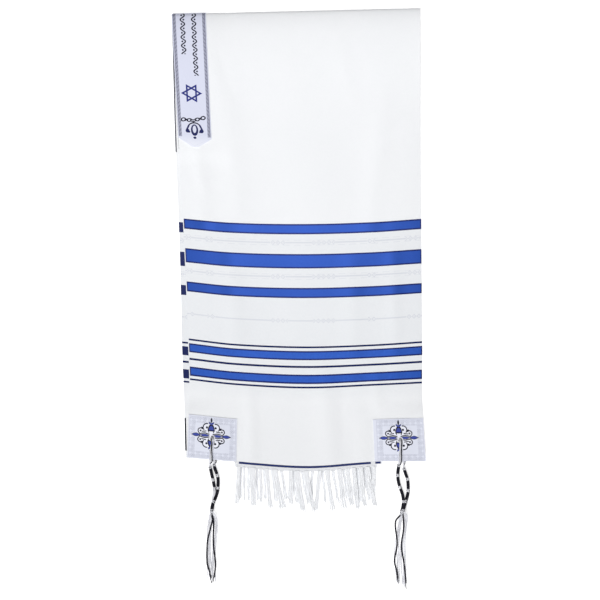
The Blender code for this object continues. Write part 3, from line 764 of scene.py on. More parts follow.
def weave_band():
    """Lilac satin with a dashed border, two columns of vine, a star and a bud."""
    finish, satin, ground = satin_finish("band_satin", LILAC, LILAC_SHADE)
    across, along = finish.cut_place()
    distance = abs(along)
    worn = ((distance - WORN_FROM) * WORN_RISE).most(0.0).least(1.0)
    ground = finish.mix(worn * 0.4, ground, WHITE)
    aside = BAND_WIDTH / 2 - abs(across - BAND_WIDTH / 2)
    border = aside.within(BORDER_NEAR, BORDER_FAR) * (distance < BORDER_END)
    rail = border * (aside < RAIL_FAR)
    dash = border * (((distance + aside * DASH_LEAN) % DASH_STEP) < DASH_LENGTH)
    grey = finish.mix(border * 0.85, ground, BORDER_GREY)
    grey = finish.mix((rail * 0.40).most(dash * (0.10 + satin * 0.50)), grey, INK)
    stems = sum(
        vine(across - row.across, distance) * distance.within(VINE_START, row.end) for row in VINES)
    bow, leaves = bud(across - BUD_ACROSS, distance - BUD_ALONG)
    blue = star(across - STAR_ACROSS, distance - STAR_ALONG)
    drawn = finish.mix(stems.most(bow), grey, INK)
    drawn = finish.mix(leaves, drawn, INK_BLUE)
    drawn = finish.mix(blue, drawn, finish.mix(satin * 0.6, STAR_BLUE, STAR_LIGHT))
    ink = together(stems, bow, leaves, blue)
    satin_face(finish, drawn, across + distance, satin, ink, satin * 0.4 + ink * 0.5 + border * 0.4)
    return finish


POINT_FROM = 0.200
POINT_SHARE = 0.42


def point_end(across):
    """How far from the fold the ribbon reaches at a place across it: its blunt point."""
    aside = min(across, BAND_WIDTH - across) / (BAND_WIDTH * POINT_SHARE)
    return BAND_SHOULDER + (BAND_TIP - BAND_SHOULDER) * min(aside, 1)


band = lay_out("neck_band_ribbon", BAND_COLUMNS, BAND_ROWS, (0, -BAND_TIP), (BAND_WIDTH, BAND_TIP))
for vert in band.data.vertices:
    beyond = abs(vert.co.y) - POINT_FROM
    if beyond > 0:
        drawn_in = (point_end(vert.co.x) - POINT_FROM) / (BAND_TIP - POINT_FROM)
        vert.co.y = math.copysign(POINT_FROM + beyond * drawn_in, vert.co.y)
fit(band, BAND_OUT, BAND_THICKNESS, weave_band())
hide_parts("neck_band")

TURN_COLUMNS, BAND_TURN_ROWS, PATCH_TURN_ROWS = 3, 160, 24
TURN_GREY, TURN_BLACK = sunlit(126, 126, 134), sunlit(24, 24, 30)
TURN_WIDTH = 0.0021
TURN_OVERHANG = 0.0004
TURN_END = BAND_SHOULDER + 0.0225
TURN_THICKNESS = 0.0004
TURN_OUT = WALL / 2 - CLOTH_THICKNESS - 0.0001
FUZZ_GRAIN, FUZZ_RELIEF = 1500.0, 0.0002


def spin_finish(name, colour, shade, sheen=0.25, gloss=0.35):
    """Twisted yarn or thread: soft, matt and a little uneven."""
    finish = Finish(name, roughness=0.85, sheen=sheen, gloss=gloss)
    fuzz = finish.noise(FUZZ_GRAIN, detail=3.0)
    finish.set("Base Color", finish.mix(fuzz, colour, shade))
    finish.bump(fuzz, FUZZ_RELIEF)
    return finish


def turn_under(name, rows, low, high, finish):
    """The narrow strip of a sewn piece that is turned round the cloth's edge to its wrong side."""
    strip = lay_out(name, TURN_COLUMNS, rows, low, high)
    fit(strip, TURN_OUT, -TURN_THICKNESS, finish)


turn_under(
    "neck_band_turn", BAND_TURN_ROWS, (-TURN_OVERHANG, -TURN_END), (TURN_WIDTH, TURN_END),
    spin_finish("band_turn", TURN_GREY, INK))


# --- The corner patches ------------------------------------------------------------------------
# A piece of paler satin, 94 by 81 mm, on the right side of each corner, hemmed all round, with a
# medallion of buds and scrolls woven round its eyelet and small flowers along its edges.

PATCH_GROUND = sunlit(221, 224, 236)
PATCH_SHADE = sunlit(211, 214, 229)
SILVER = sunlit(176, 179, 194)
BUD_BLUE = sunlit(46, 58, 136)
BUD_LIGHT = sunlit(72, 86, 170)
SCROLL_INK = sunlit(30, 31, 48)
SCROLL_FILL = sunlit(230, 232, 242)
MEDALLION_X, MEDALLION_Y = -0.0024, 0.0042
FLOWERS_NEAR, FLOWERS_FAR, FLOWER_STEP = 0.0030, 0.0135, 0.0105
RAIL_START, RAIL_END = 0.0018, 0.0028
PATCHY_GRAIN = 120.0
PATCH_COLUMNS, PATCH_ROWS = 32, 28
PATCH_WANDER = 0.00008
PATCH_TURN_WIDTH = 0.0028
PATCH_TURN_START = HALF_LENGTH - PATCH_HEIGHT + 0.004
PATCH_TURN_END = HALF_LENGTH - 0.014


def petal(x, y, centre, half_length, half_width):
    """How far inside a pointed leaf along x a point lies: above 0 within it, 1 at its middle."""
    return 1 - abs(y) / half_width - (abs(x - centre) / half_length) ** 2


def outlined(shape, line):
    """A filled shape and the line round it, from how far inside it a point lies."""
    return shape > line, shape.within(-line * 0.4, line)


def medallion(x, y):
    """Leaves to the sides, a flask above and below, and scrolls between. Returns blue, ink and fill."""
    x, y = abs(x), abs(y)
    leaf = petal(x, y, 0.0290, 0.0082, 0.0032).most(petal(x, y, 0.0120, 0.0092, 0.0026))
    stalk = ((0.0008 - y) * 400).least((0.0040 - abs(x - 0.0215)) * 400)
    flask = (1 - away_from(x, y, 0.0, 0.0088, 0.0062, 0.0125)).least((y - 0.0090) * 120)
    crown = (1 - abs(y - 0.0216 - x * 0.62) / 0.0019).least((0.0046 - x) * 500)
    blue, ink = outlined(together(leaf, stalk, flask, crown), 0.20)
    ribbon = abs(y - 0.0046 + abs(x - 0.0120) * 0.22)
    inner = away_from(x, y, 0.0084, 0.0150)
    outer = away_from(x, y, 0.0206, 0.0082)
    ink = together(
        ink,
        petal(y, x, 0.0290, 0.0052, 0.0019) > 0,
        petal(x, y, 0.0345, 0.0042, 0.0012) > 0,
        petal(x * 0.79 + y * 0.61, x * 0.61 - y * 0.79, 0.0215, 0.0036, 0.0019) > 0,
        (ribbon < 0.0010) * x.within(0.0030, 0.0235),
        (abs(inner - 0.0074) < 0.0010) * (x + y > 0.0232) * (x > 0.0064),
        inner < 0.0021,
        (abs(outer - 0.0048) < 0.0010) * (x + y * 0.7 > 0.0250),
        outer < 0.0018,
        stroke(x, y, (0.0176, 0.0070), (0.0100, 0.0082), 0.0019),
        stroke(x, y, (0.0062, 0.0118), (0.0044, 0.0062), 0.0017),
    )
    fill = away_from(x, y, 0.0, 0.0, 0.0270, 0.0225) < 1
    return blue, ink * (1 - blue), fill


def weave_patch():
    """Pale satin with small flowers along its edges and the medallion about its eyelet."""
    finish, satin, ground = satin_finish("patch_satin", PATCH_GROUND, PATCH_SHADE)
    x, y = finish.cut_place()
    side = (PATCH_WIDTH / 2 - abs(x)).least(PATCH_HEIGHT / 2 - abs(y))
    flower_x, flower_y = (abs(place % FLOWER_STEP - FLOWER_STEP / 2) for place in (x, y))
    flower = ring(flower_x, flower_y, 0.0019, 0.0019, 0.0015, 0.0011)
    stem = ring(flower_x, flower_y, 0.0, 0.0, 0.0048, 0.0008)
    patchy = finish.noise(PATCHY_GRAIN) * 1.3
    silver = flower.most(stem * 0.7) * side.within(FLOWERS_NEAR, FLOWERS_FAR) * patchy
    silver = silver.most(side.within(RAIL_START, RAIL_END) * 0.5)
    ground = finish.mix(silver.least(1.0), ground, SILVER)
    blue, ink, fill = medallion(x - MEDALLION_X, y - MEDALLION_Y)
    drawn = finish.mix(fill, ground, SCROLL_FILL)
    drawn = finish.mix(ink, drawn, SCROLL_INK)
    drawn = finish.mix(blue, drawn, finish.mix(satin, BUD_BLUE, BUD_LIGHT))
    ink = blue + ink
    satin_face(finish, drawn, x + y, satin, ink, satin * 0.3 + ink * 0.6)
    return finish


patch_finish = weave_patch()
patch_turn_finish = spin_finish("patch_turn", TURN_BLACK, INK, sheen=0.05, gloss=0.15)
for corner in CORNERS:
    near, far = span_on(corner.layer, HALF_LENGTH - PATCH_HEIGHT, HALF_LENGTH)
    low, high = (corner.start, near), (corner.end, far)
    patch = lay_out(f"patch_{corner.name}", PATCH_COLUMNS, PATCH_ROWS, low, high)
    open_eyelet(patch, corner)
    fit(patch, BAND_OUT, BAND_THICKNESS, patch_finish, PATCH_WANDER, corner)
    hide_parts(f"corner_patch_{corner.name}")
    edge = 0.0 if corner.start == 0 else WIDTH - PATCH_TURN_WIDTH
    near, far = span_on(corner.layer, PATCH_TURN_START, PATCH_TURN_END)
    turn_under(
        f"patch_turn_{corner.name}", PATCH_TURN_ROWS, (edge, near), (edge + PATCH_TURN_WIDTH, far),
        patch_turn_finish)


# --- The sewing --------------------------------------------------------------------------------
# The band is topstitched near its edge in lilac thread and the patches in white, and each eyelet is
# overcast with a white ring of close stitches.

STITCH_LENGTH = 0.0026
STITCH_WIDTH, STITCH_HEIGHT = 0.20, 0.16
STITCH_STEP = 0.0034
STITCH_INSET = 0.0014
STITCH_OUT = BAND_OUT + BAND_THICKNESS
OVERCAST_OUT = STITCH_OUT - 0.0001
OVERCAST_RADIUS, OVERCAST_THICKNESS = EYELET_RADIUS + 0.0006, 0.0014
SEWING_WHITE, SEWING_SHADE = sunlit(240, 240, 246), sunlit(214, 216, 228)
thread_finish = spin_finish("sewing_thread", SEWING_WHITE, SEWING_SHADE)
ribbon_thread_finish = spin_finish("ribbon_thread", LILAC, LILAC_SHADE)


def gather(name, copies):
    """Joins copies of a small shape into one piece."""
    bpy.ops.object.select_all(action="DESELECT")
    for thing in copies:
        thing.select_set(True)
    bpy.context.view_layer.objects.active = copies[0]
    bpy.ops.object.join()
    whole = bpy.context.object
    whole.name = name
    bpy.ops.object.transform_apply()
    return whole


def one_stitch():
    """A stitch one unit long, lying along X."""
    bpy.ops.mesh.primitive_uv_sphere_add(segments=6, ring_count=4, radius=0.5)
    stitch = bpy.context.object
    for vert in stitch.data.vertices:
        vert.co.y *= STITCH_WIDTH
        vert.co.z *= STITCH_HEIGHT
    bpy.ops.object.shade_smooth()
    return stitch


def sew(name, stitch, outline, finish):
    """Runs stitches along each straight side of an outline on the flat cut."""
    copies = []
    for one, two in zip(outline, outline[1:] + outline[:1]):
        one, two = Vector((*one, 0)), Vector((*two, 0))
        count = max(round((two - one).length / STITCH_STEP), 1)
        for k in range(count):
            copy = stitch.copy()
            copy.data = stitch.data.copy()
            bpy.context.collection.objects.link(copy)
            copy.location = one + (two - one) * ((k + 0.5) / count)
            copy.rotation_euler.z = math.atan2((two - one).y, (two - one).x)
            copy.scale = (STITCH_LENGTH,) * 3
            copies.append(copy)
    fit(gather(name, copies), STITCH_OUT, 0, finish)


stitch = one_stitch()
point = [
    (STITCH_INSET, BAND_SHOULDER - STITCH_INSET),
    (BAND_WIDTH / 2, BAND_TIP - 2 * STITCH_INSET),
    (BAND_WIDTH - STITCH_INSET, BAND_SHOULDER - STITCH_INSET),
]
outline = point + [(across, -along) for across, along in point[::-1]]
sew("neck_band_stitches", stitch, outline, ribbon_thread_finish)
for corner in CORNERS:
    near = corner.layer * (HALF_LENGTH - PATCH_HEIGHT + STITCH_INSET)
    far = corner.layer * (HALF_LENGTH - STITCH_INSET)
    left, right = corner.start + STITCH_INSET, corner.end - STITCH_INSET
    outline = [(left, near), (right, near), (right, far), (left, far)]
    sew(f"patch_stitches_{corner.name}", stitch, outline, thread_finish)
bpy.data.objects.remove(stitch)

for corner in CORNERS:
    bpy.ops.mesh.primitive_torus_add(
        major_segments=36, minor_segments=8,
        major_radius=OVERCAST_RADIUS, minor_radius=OVERCAST_THICKNESS / 2,
        location=(corner.eyelet, corner.layer * EYELET_ALONG, 0))
    overcast = bpy.context.object
    overcast.name = f"eyelet_stitches_{corner.name}"
    bpy.ops.object.transform_apply()
    bpy.ops.object.shade_smooth()
    fit(overcast, OVERCAST_OUT, 0, thread_finish)


# --- The fringe --------------------------------------------------------------------------------
# Between the patches the hem is turned up once, with a navy line woven along it, and the warp is
# gathered below it into locks of loosely twisted white yarn.

STRIP_DEPTH = 0.0104
HEM_THICKNESS = 0.0010
HEM_STUB = 0.0110
HEM_COLUMN, HEM_ROWS = 0.004, 6
HEM_SLUB_GRAIN = 400.0
HEM_LINE = 0.0042
STUB_DEPTH = HEM_LINE + 0.0004
HEM_LINE_ENDS = (0.0990, 0.3515)
HEM_DASH = (0.3600, 0.3705)
HEM_GAP = 0.0001
LOCK_THICKNESS = 0.0014
LOCK_OVERLAP, LOCK_ROOT_OUT = 0.0014, 0.0005
FLOOR_CLEARANCE = 0.0003
UPPER_CLEARANCE, LOWER_CLEARANCE = 0.0020, 0.0003
UPPER_SLIMNESS, LOWER_SLIMNESS = 0.84, 0.55
YARN_THICKNESS = 0.0016
YARN_SPACING = 0.00150
YARN_STEP = 0.0014
PLY_THICKNESS = 0.00150
PLY_TURN = 0.0065
PLY_REACH = 0.26
ANY_SIDE = Vector((0.31, 0.17, 0.93))
YARN_CURL, YARN_WAVE, YARN_VARIES, YARN_OVERLAP = 0.0005, 0.0004, 0.03, 0.22
LOCK_WAIST, LOCK_SWAY, LOCK_FLARE = 0.84, 0.16, 0.10
LOCK_DESCENT, LOCK_LEAN = 1.2, 1.2
YARN_WHITE, YARN_SHADE = sunlit(239, 240, 242), sunlit(226, 228, 232)
HEM_WHITE, HEM_SHADE, HEM_BLUE = sunlit(230, 231, 234), sunlit(220, 222, 227), sunlit(46, 62, 130)
yarn_finish = spin_finish("fringe_yarn", YARN_WHITE, YARN_SHADE)

LOCK_COLUMNS = "root_x tip_x tip_y half_width"
UPPER_LOCKS = table_of(
    LOCK_COLUMNS,
    (-0.1152, -0.1184, -0.4954, 0.0040), (-0.1049, -0.1047, -0.4888, 0.0014),
    (-0.0893, -0.0870, -0.4982, 0.0060), (-0.0741, -0.0729, -0.4926, 0.0028),
    (-0.0622, -0.0553, -0.5029, 0.0038), (-0.0481, -0.0329, -0.5038, 0.0064),
    (-0.0177, -0.0169, -0.4958, 0.0046), (-0.0056, 0.0056, -0.5095, 0.0052),
    (0.0113, 0.0263, -0.5095, 0.0046), (0.0365, 0.0291, -0.5057, 0.0042),
    (0.0508, 0.0620, -0.5076, 0.0046), (0.0733, 0.0835, -0.5038, 0.0052),
    (0.0893, 0.0974, -0.4982, 0.0042), (0.1006, 0.1081, -0.5038, 0.0044),
    (0.1139, 0.1211, -0.4982, 0.0046), (0.1269, 0.1410, -0.5001, 0.0046),
    (0.1395, 0.1380, -0.4907, 0.0034),
)
LOWER_LOCKS = table_of(
    LOCK_COLUMNS,
    (-0.1109, -0.1128, -0.4850, 0.0036), (-0.0968, -0.0968, -0.4907, 0.0034),
    (-0.0808, -0.0790, -0.4888, 0.0028), (-0.0667, -0.0649, -0.4869, 0.0032),
    (-0.0526, -0.0451, -0.4926, 0.0036), (-0.0348, -0.0254, -0.4869, 0.0044),
    (-0.0113, -0.0056, -0.4944, 0.0042), (0.0047, 0.0160, -0.4963, 0.0042),
    (0.0235, 0.0207, -0.4888, 0.0038), (0.0432, 0.0470, -0.4926, 0.0042),
    (0.0620, 0.0724, -0.4944, 0.0044), (0.0818, 0.0912, -0.4907, 0.0040),
    (0.1072, 0.1137, -0.4926, 0.0038), (0.1203, 0.1297, -0.4888, 0.0036),
    (0.1335, 0.1307, -0.4869, 0.0034),
)


def around(points, radius, turn_length, phase):
    """A strand that winds round a line of points."""
    side, length, wound = ANY_SIDE, 0.0, []
    for k, here in enumerate(points):
        ahead = (points[min(k + 1, len(points) - 1)] - points[max(k - 1, 0)]).normalized()
        side = (side - ahead * side.dot(ahead)).normalized()
        length += (here - points[max(k - 1, 0)]).length
        angle = phase + math.tau * length / turn_length
        wound.append(here + (side * math.cos(angle) + ahead.cross(side) * math.sin(angle)) * radius)
    return wound


def spin(name, strands, thickness, finish):
    """Makes strands, each a line of points, into one piece of round yarns."""
    bpy.ops.curve.primitive_nurbs_path_add()
    yarn = bpy.context.object
    yarn.name = name
    yarn.data.splines.clear()
    yarn.data.bevel_depth = thickness / 2
    yarn.data.bevel_resolution = 1
    yarn.data.use_fill_caps = True
    for points in strands:
        spline = yarn.data.splines.new("POLY")
        spline.points.add(len(points) - 1)
        for point, place in zip(spline.points, points):
            point.co = (*place, 1)
    bpy.ops.object.convert(target="MESH")
    bpy.ops.object.shade_smooth()
    yarn = bpy.context.object
    yarn.data.materials.clear()
    dress(yarn, finish)
    return yarn


def two_ply(points, thickness, phase):
    """Two plies twisted round each other down a line of points."""
    return [around(points, thickness * PLY_REACH, PLY_TURN, phase + turn) for turn in (0, math.pi)]


def settled(strands, thickness):
    """Keeps strands from sinking into the table."""
    lowest = FLOOR_CLEARANCE + thickness / 2
    return [[Vector((*point.xy, max(point.z, lowest))) for point in strand] for strand in strands]


def across_at(x, along):
    """How far across the cut a point of a row lies, from where it lies on the table."""
    neck, outer = side_edges(along)
    return (x - neck) / (outer - neck) * WIDTH


def lock_yarns(lock, layer, number):
    """The yarns of one lock, from the turned hem to their loose ends."""
    hem_row = layer * (HALF_LENGTH + STRIP_DEPTH - LOCK_OVERLAP)
    root = on_cloth(across_at(lock.root_x, hem_row), hem_row, layer * LOCK_ROOT_OUT)
    clearance, slimness = (
        (UPPER_CLEARANCE, UPPER_SLIMNESS) if layer > 0 else (LOWER_CLEARANCE, LOWER_SLIMNESS))
    rest = FLOOR_CLEARANCE + LOCK_THICKNESS / 2 + clearance
    half_width = lock.half_width * slimness
    yarns = max(round(2 * half_width / YARN_SPACING), 1) + 1
    strands = []
    for k in range(yarns):
        reach = (root.y - lock.tip_y) * (1 + YARN_VARIES * math.sin(4.1 * k + 1.3 * number))
        count = round(reach / YARN_STEP)
        aside = (k / (yarns - 1) - 0.5) * 2 * half_width
        row = (k % 2) * YARN_THICKNESS * YARN_OVERLAP
        line = []
        for n in range(count + 1):
            share = n / count
            sway = LOCK_SWAY * math.sin(2.6 * share + number)
            spread = aside * (LOCK_WAIST + sway * share + LOCK_FLARE * share)
            curl = YARN_CURL * math.sin(8 * share + 2.1 * k + number) * smooth(3 * share)
            fall = (rest + row - root.z) * smooth(share * LOCK_DESCENT)
            wave = YARN_WAVE * math.sin(9 * share + 3 * k) * share
            line.append(Vector((
                root.x + (lock.tip_x - root.x) * share**LOCK_LEAN + spread + curl,
                root.y - reach * share,
                root.z + fall + wave,
            )))
        strands += two_ply(line, YARN_THICKNESS, 1.9 * k)
    return settled(strands, PLY_THICKNESS)


def hem_finish():
    """The cloth's own weave, with a navy line and a dash beyond it along the turned hem."""
    finish = Finish("hem_white", roughness=0.82, sheen=0.18)
    across, along = finish.cut_place()
    weave = plain_weave(across, along)
    past_hem = abs(along) - HALF_LENGTH + (weave - 0.5) * HEM_RAGGEDNESS
    shown = across.within(*HEM_LINE_ENDS).most(across.within(*HEM_DASH))
    line = past_hem.within(HEM_GAP, HEM_LINE) * shown
    slub = finish.noise(HEM_SLUB_GRAIN)
    # Slubs vary the hem's white at random; the weave's hollows are darkened as painted shade.
    white = finish.mix(slub * 0.5 + (1 - weave) * 0.3, HEM_WHITE, HEM_SHADE)
    navy = finish.mix(slub * 0.5, NAVY, HEM_BLUE)
    finish.set("Base Color", finish.mix(line, white, navy))
    finish.bump(weave + line * 0.5, WEAVE_RELIEF)
    return finish


hem_cloth = hem_finish()
HEM_START, HEM_END = PATCH_WIDTH + GAP, WIDTH - PATCH_WIDTH - GAP
for level, layer, locks in (("upper", 1, UPPER_LOCKS), ("lower", -1, LOWER_LOCKS)):
    for name, start, end, depth in (
        (f"fringe_hem_{level}", HEM_START, HEM_END, STRIP_DEPTH),
        (f"fringe_hem_end_{level}", HEM_END, WIDTH - PATCH_WIDTH + HEM_STUB, STUB_DEPTH),
    ):
        near, far = span_on(layer, HALF_LENGTH + HEM_GAP, HALF_LENGTH + depth)
        hem = lay_out(name, round((end - start) / HEM_COLUMN), HEM_ROWS, (start, near), (end, far))
        fit(hem, WALL / 2, -HEM_THICKNESS, hem_cloth)
    strands = []
    for number, lock in enumerate(locks):
        strands += lock_yarns(lock, layer, number)
    fringe = spin(f"fringe_locks_{level}", strands, PLY_THICKNESS, yarn_finish)
    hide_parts(f"fringe_{level}")


# --- The tzitzit -------------------------------------------------------------------------------
# Through each eyelet go four threads, doubled to eight. They run over the patch and back under it,
# are tied past the hem with five double knots, wound with dark thread in between, and lie loose below.

CORD_WHITE, CORD_GREY = sunlit(241, 241, 245), sunlit(193, 194, 201)
CORD_BLACK, CORD_NAVY = sunlit(14, 14, 22), sunlit(34, 34, 46)
THREADS, DARK_THREAD = 4, 3
THREAD_THICKNESS, THREAD_SPACING, THREAD_SWAY = 0.0015, 0.0021, 0.0004
RUN_STOPS = (HALF_LENGTH + 0.004, HALF_LENGTH - 0.004, EYELET_ALONG + 0.020, EYELET_ALONG + 0.008)
EYELET_STOP = EYELET_ALONG + 0.0020
TIE_REACH, TIE_POINT, TIE_SPACING = 0.009, 6, 0.8
DESCENT, CLIMB_DELAY = 4, 2.4
CROSSING_RISE = 0.0064
CORE_THICKNESS, CORE_STEP, CORE_REACH, CORE_TURN = 0.0019, 0.0015, 0.0010, 0.020
KNOT_RADIUS = 0.0033
KNOT_WIDE, KNOT_HIGH, KNOT_LONG = 0.00085, 0.00070, 0.0013
KNOT_PAIR = ((0.0, -0.0011), (1.1, 0.0011))
KNOT_POINTS, KNOT_STEPS = 48, 12
KNOT_MARGIN = 0.0028
COLLAR_RADIUS, COLLAR_STEPS, COLLAR_MARGIN = 0.0030, 3, 9
WINDING_THICKNESS = 0.0014
WINDING_RADIUS = 0.0026
WINDING_PITCH = 0.00130
WINDING_STEP = WINDING_PITCH / 9
STRAND_THICKNESS = 0.0017
STRANDS, DARK_STRANDS = 8, 2
STRAND_STEP, STRAND_SPACING, STRAND_FLARE = 0.0012, 0.0021, 0.0014
STRAND_SWAY, STRAND_SWAY_GROWTH, STRAND_WAVE = 0.0003, 0.0013, 0.0006
STRAND_VARIES, STRAND_DESCENT, DARK_SPACING = 0.025, 8, 0.8
STRAND_LEVEL, ROW_RISE, DARK_LEVEL = 0.6, 0.9, 2.3
PLY_SHARE, DARK_PLY_SHARE = 0.60, 0.65
DARK_THREAD_THICKNESS, DARK_THREAD_RISE = 0.0019, 0.0007
LEFT_DARK_ASIDES, RIGHT_DARK_ASIDES = (-0.0014, 0.0050), (0.0026, 0.0034)
THREAD_STEP, THREAD_SINK = 0.0009, 0.0002
THREAD_REST, DARK_THREAD_REST = 0.0010, 0.0016

ROUTES = table_of(
    "name layer across cord knots bare tassel dark",
    (
        "tzitzit_upper_left", 1, PATCH_WIDTH / 2,
        ((-0.1696, -0.4174), (-0.1686, -0.4249), (-0.1662, -0.4380), (-0.1632, -0.4512),
         (-0.1609, -0.4644), (-0.1613, -0.4775), (-0.1632, -0.4888), (-0.1636, -0.4982),
         (-0.1660, -0.5095), (-0.1668, -0.5151)),
        (0.09, 0.34, 0.51, 0.76, 0.96), 2,
        ((-0.1700, -0.5350), (-0.1716, -0.5800), (-0.1678, -0.6430)),
        ((-0.1645, -0.5253), (-0.1718, -0.5555), (-0.1743, -0.5715), (-0.1743, -0.6078),
         (-0.1700, -0.6223), (-0.1651, -0.6443)),
    ),
    (
        "tzitzit_lower_left", -1, PATCH_WIDTH / 2,
        ((-0.1611, -0.4174), (-0.1604, -0.4268), (-0.1572, -0.4362), (-0.1541, -0.4474),
         (-0.1540, -0.4625), (-0.1552, -0.4738), (-0.1590, -0.4850), (-0.1640, -0.4963),
         (-0.1662, -0.5095)),
        (0.05, 0.27, 0.52, 0.80, 0.98), None,
        ((-0.1590, -0.5250), (-0.1614, -0.5750), (-0.1638, -0.6440)),
        ((-0.1624, -0.5302), (-0.1628, -0.5711), (-0.1587, -0.6087), (-0.1628, -0.6430)),
    ),
    (
        "tzitzit_upper_right", 1, WIDTH - PATCH_WIDTH / 2,
        ((0.1857, -0.4208), (0.1846, -0.4270), (0.1835, -0.4380), (0.1842, -0.4512), (0.1876, -0.4644),
         (0.1918, -0.4756), (0.1940, -0.4869), (0.1936, -0.4982), (0.1910, -0.5095), (0.1899, -0.5151)),
        (0.02, 0.22, 0.46, 0.75, 0.97), None,
        ((0.1868, -0.5350), (0.1820, -0.5800), (0.1836, -0.6480)),
        ((0.1792, -0.5294), (0.1824, -0.5711), (0.1773, -0.6025), (0.1812, -0.6204), (0.1852, -0.6448)),
    ),
    (
        "tzitzit_lower_right", -1, WIDTH - PATCH_WIDTH / 2,
        ((0.1945, -0.4208), (0.1950, -0.4280), (0.1980, -0.4380), (0.2017, -0.4493), (0.2030, -0.4625),
         (0.2026, -0.4756), (0.1996, -0.4866), (0.1963, -0.4970), (0.1929, -0.5095)),
        (0.10, 0.32, 0.56, 0.79, 0.98), None,
        ((0.1990, -0.5200), (0.1935, -0.5750), (0.1950, -0.6530)),
        ((0.1944, -0.5396), (0.1903, -0.5753), (0.1953, -0.6078), (0.2000, -0.6552)),
    ),
)
cord_white = spin_finish("tzitzit_thread", CORD_WHITE, CORD_GREY)
cord_dark = spin_finish("tzitzit_dark_thread", CORD_BLACK, CORD_NAVY, sheen=0.05, gloss=0.15)


def run_along(points, step):
    """Evenly spaced places along a smooth curve through points on the table, each with its share."""
    lengths = [0.0]
    for one, two in zip(points, points[1:]):
        lengths.append(lengths[-1] + (Vector(two) - Vector(one)).length)
    count = round(lengths[-1] / step)
    axes = list(zip(*points))
    return [
        (k / count, [curve_through(lengths, axis, lengths[-1] * k / count) for axis in axes])
        for k in range(count + 1)
    ]


def cord_line(route, step=0.0004):
    """The middle of the tied cord, down to the table and along it, over any cord that lies there."""
    start = on_cloth(route.across, route.layer * (HALF_LENGTH + TIE_REACH))
    floor = FLOOR_CLEARANCE + KNOT_RADIUS
    climb = CROSSING_RISE if route.layer < 0 else 0.0
    line = []
    for share, place in run_along(route.cord, step):
        fall = (floor - start.z) * smooth(DESCENT * share)
        line.append(Vector((*place, start.z + fall + climb * smooth(DESCENT * share - CLIMB_DELAY))))
    return line


def knot(centre, ahead, turn):
    """A thread tied in a small overhand knot about a point of the cord."""
    aside = Vector((-ahead.y, ahead.x, 0)).normalized()
    up = aside.cross(ahead)
    loop = []
    for k in range(KNOT_POINTS + 1):
        t = math.tau * k / KNOT_POINTS + turn
        wide = (math.sin(t) + 2 * math.sin(2 * t)) * KNOT_WIDE
        high = (math.cos(t) - 2 * math.cos(2 * t)) * KNOT_HIGH
        loop.append(centre + aside * wide + up * high - ahead * (math.sin(3 * t) * KNOT_LONG))
    return loop


def tied_cord(route):
    """White core, dark windings and knots of one cord."""
    line = cord_line(route, WINDING_STEP)
    core = line[::round(CORE_STEP / WINDING_STEP)]
    white, dark = [core], []
    for phase in range(3):
        white.append(around(core, CORE_REACH, CORE_TURN, phase * math.tau / 3))
    places = [round(share * (len(line) - 1)) for share in route.knots]
    for n, at in enumerate(places):
        ahead = (line[min(at + KNOT_STEPS, len(line) - 1)] - line[max(at - KNOT_STEPS, 0)]).normalized()
        for turn, shift in KNOT_PAIR:
            white.append(knot(line[at] + ahead * shift, ahead, 0.4 * n + turn))
        if COLLAR_MARGIN < at < len(line) - COLLAR_MARGIN:
            collar = line[at - COLLAR_STEPS: at + COLLAR_STEPS + 1]
            dark.append(around(collar, COLLAR_RADIUS, WINDING_PITCH, n * 0.8))
    margin = round(KNOT_MARGIN / WINDING_STEP)
    for n, (one, two) in enumerate(zip(places, places[1:])):
        winding = around(line[one + margin: two - margin], WINDING_RADIUS, WINDING_PITCH, n * 1.7)
        (white if n == route.bare else dark).append(winding)
    return white, dark


def eyelet_threads(route):
    """The four doubled threads, over the patch, down the eyelet and back under the cloth."""
    outside = WALL / 2 + GAP + PATCH_WALL + GAP + THREAD_THICKNESS / 2 - THREAD_SINK
    inside = -WALL / 2 + CLOTH_THICKNESS / 2 - THREAD_THICKNESS / 2
    tie = cord_line(route)[TIE_POINT]
    tie_across = across_at(tie.x, route.layer * HALF_LENGTH)
    dark_asides = LEFT_DARK_ASIDES if route.across < WIDTH / 2 else RIGHT_DARK_ASIDES
    threads = []
    for i in range(THREADS):
        aside = ((THREADS - 1) / 2 - i) * THREAD_SPACING
        asides, rise = (aside, aside * TIE_SPACING), 0.0
        if i == DARK_THREAD:
            asides, rise = dark_asides, DARK_THREAD_RISE
        start, end = route.across + asides[0], tie_across + asides[1]
        stations = [(along, outside + rise) for along in RUN_STOPS]
        stations += [
            (EYELET_STOP, outside - THREAD_SINK), (EYELET_ALONG, (outside + inside) / 2),
            (EYELET_STOP, inside)]
        stations += [(along, inside) for along in RUN_STOPS[::-1]]
        points = [tie]
        for along, out in stations:
            share = max((along - EYELET_ALONG) / (HALF_LENGTH + TIE_REACH - EYELET_ALONG), 0.0)
            sway = THREAD_SWAY * math.sin(3 * i + 160 * (along - EYELET_ALONG))
            points.append(on_cloth(start + (end - start) * share + sway, route.layer * along, out))
        points.append(tie)
        threads.append([Vector(place) for _, place in run_along(points, THREAD_STEP)])
    return threads


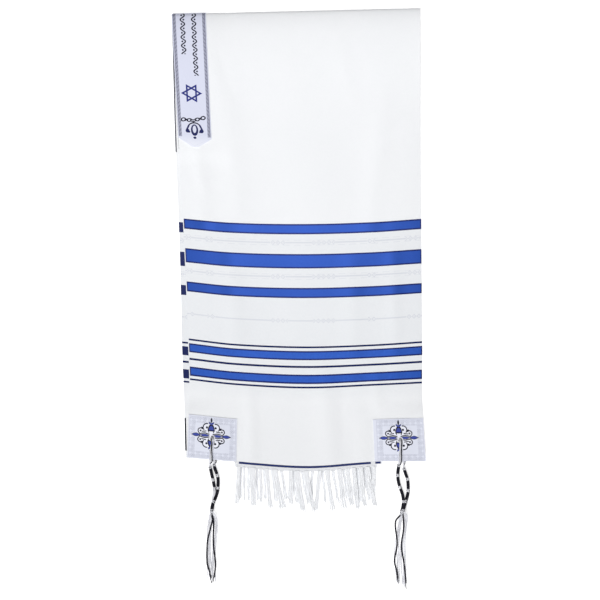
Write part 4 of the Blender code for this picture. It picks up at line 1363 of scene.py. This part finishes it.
def tassel_strands(route):
    """Loose strands on the table below the last knot. The first two are dark and run together."""
    strands = []
    head = cord_line(route)[-1].z
    for k in range(STRANDS):
        path = (route.cord[-1],) + (route.dark if k < DARK_STRANDS else route.tassel)
        line = run_along(path, STRAND_STEP)
        place_in_row, row = (k - DARK_STRANDS) % 3, (k - DARK_STRANDS) // 3
        stop = round(len(line) * (1 - STRAND_VARIES * ((k * 3) % 4)))
        points = []
        for n in range(stop):
            share, here = line[n]
            ahead = Vector(line[min(n + 1, len(line) - 1)][1]) - Vector(line[max(n - 1, 0)][1])
            aside = Vector((-ahead.y, ahead.x)).normalized()
            sway = STRAND_SWAY + STRAND_SWAY_GROWTH * share
            sway *= math.sin(7.5 * share + 1.7 * k + 9 * route.across)
            away = (place_in_row - 1.25 + row * 0.5) * (STRAND_SPACING + STRAND_FLARE * share) + sway
            level = FLOOR_CLEARANCE + STRAND_THICKNESS * (STRAND_LEVEL + ROW_RISE * row)
            if k < DARK_STRANDS:
                away = (k - 0.5) * STRAND_THICKNESS * DARK_SPACING
                level = FLOOR_CLEARANCE + STRAND_THICKNESS * DARK_LEVEL
            level += STRAND_WAVE * math.sin(6 * share + 2 * k) * (1 - share)
            level = head + (level - head) * smooth(share * STRAND_DESCENT)
            level = max(level, FLOOR_CLEARANCE + STRAND_THICKNESS * STRAND_LEVEL)
            points.append(Vector((*(Vector(here) + aside * away), level)))
        strands.append(points)
    return strands


for route in ROUTES:
    core, windings = tied_cord(route)
    white, dark = [], []
    for k, points in enumerate(eyelet_threads(route)):
        if k == DARK_THREAD:
            windings += settled(two_ply(points, DARK_THREAD_THICKNESS, 1.1 * k), DARK_THREAD_REST)
        else:
            white += two_ply(points, THREAD_THICKNESS, 1.1 * k)
    for k, points in enumerate(tassel_strands(route)):
        (dark if k < DARK_STRANDS else white).extend(two_ply(points, STRAND_THICKNESS, 0.7 * k))
    white, dark = settled(white, THREAD_REST), settled(dark, THREAD_REST)
    body = spin(route.name + "_core", core, CORE_THICKNESS, cord_white)
    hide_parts(route.name)
    spin(route.name + "_strands", white, STRAND_THICKNESS * PLY_SHARE, cord_white)
    spin(route.name + "_windings", windings, WINDING_THICKNESS, cord_dark)
    spin(route.name + "_dark_strands", dark, STRAND_THICKNESS * DARK_PLY_SHARE, cord_dark)
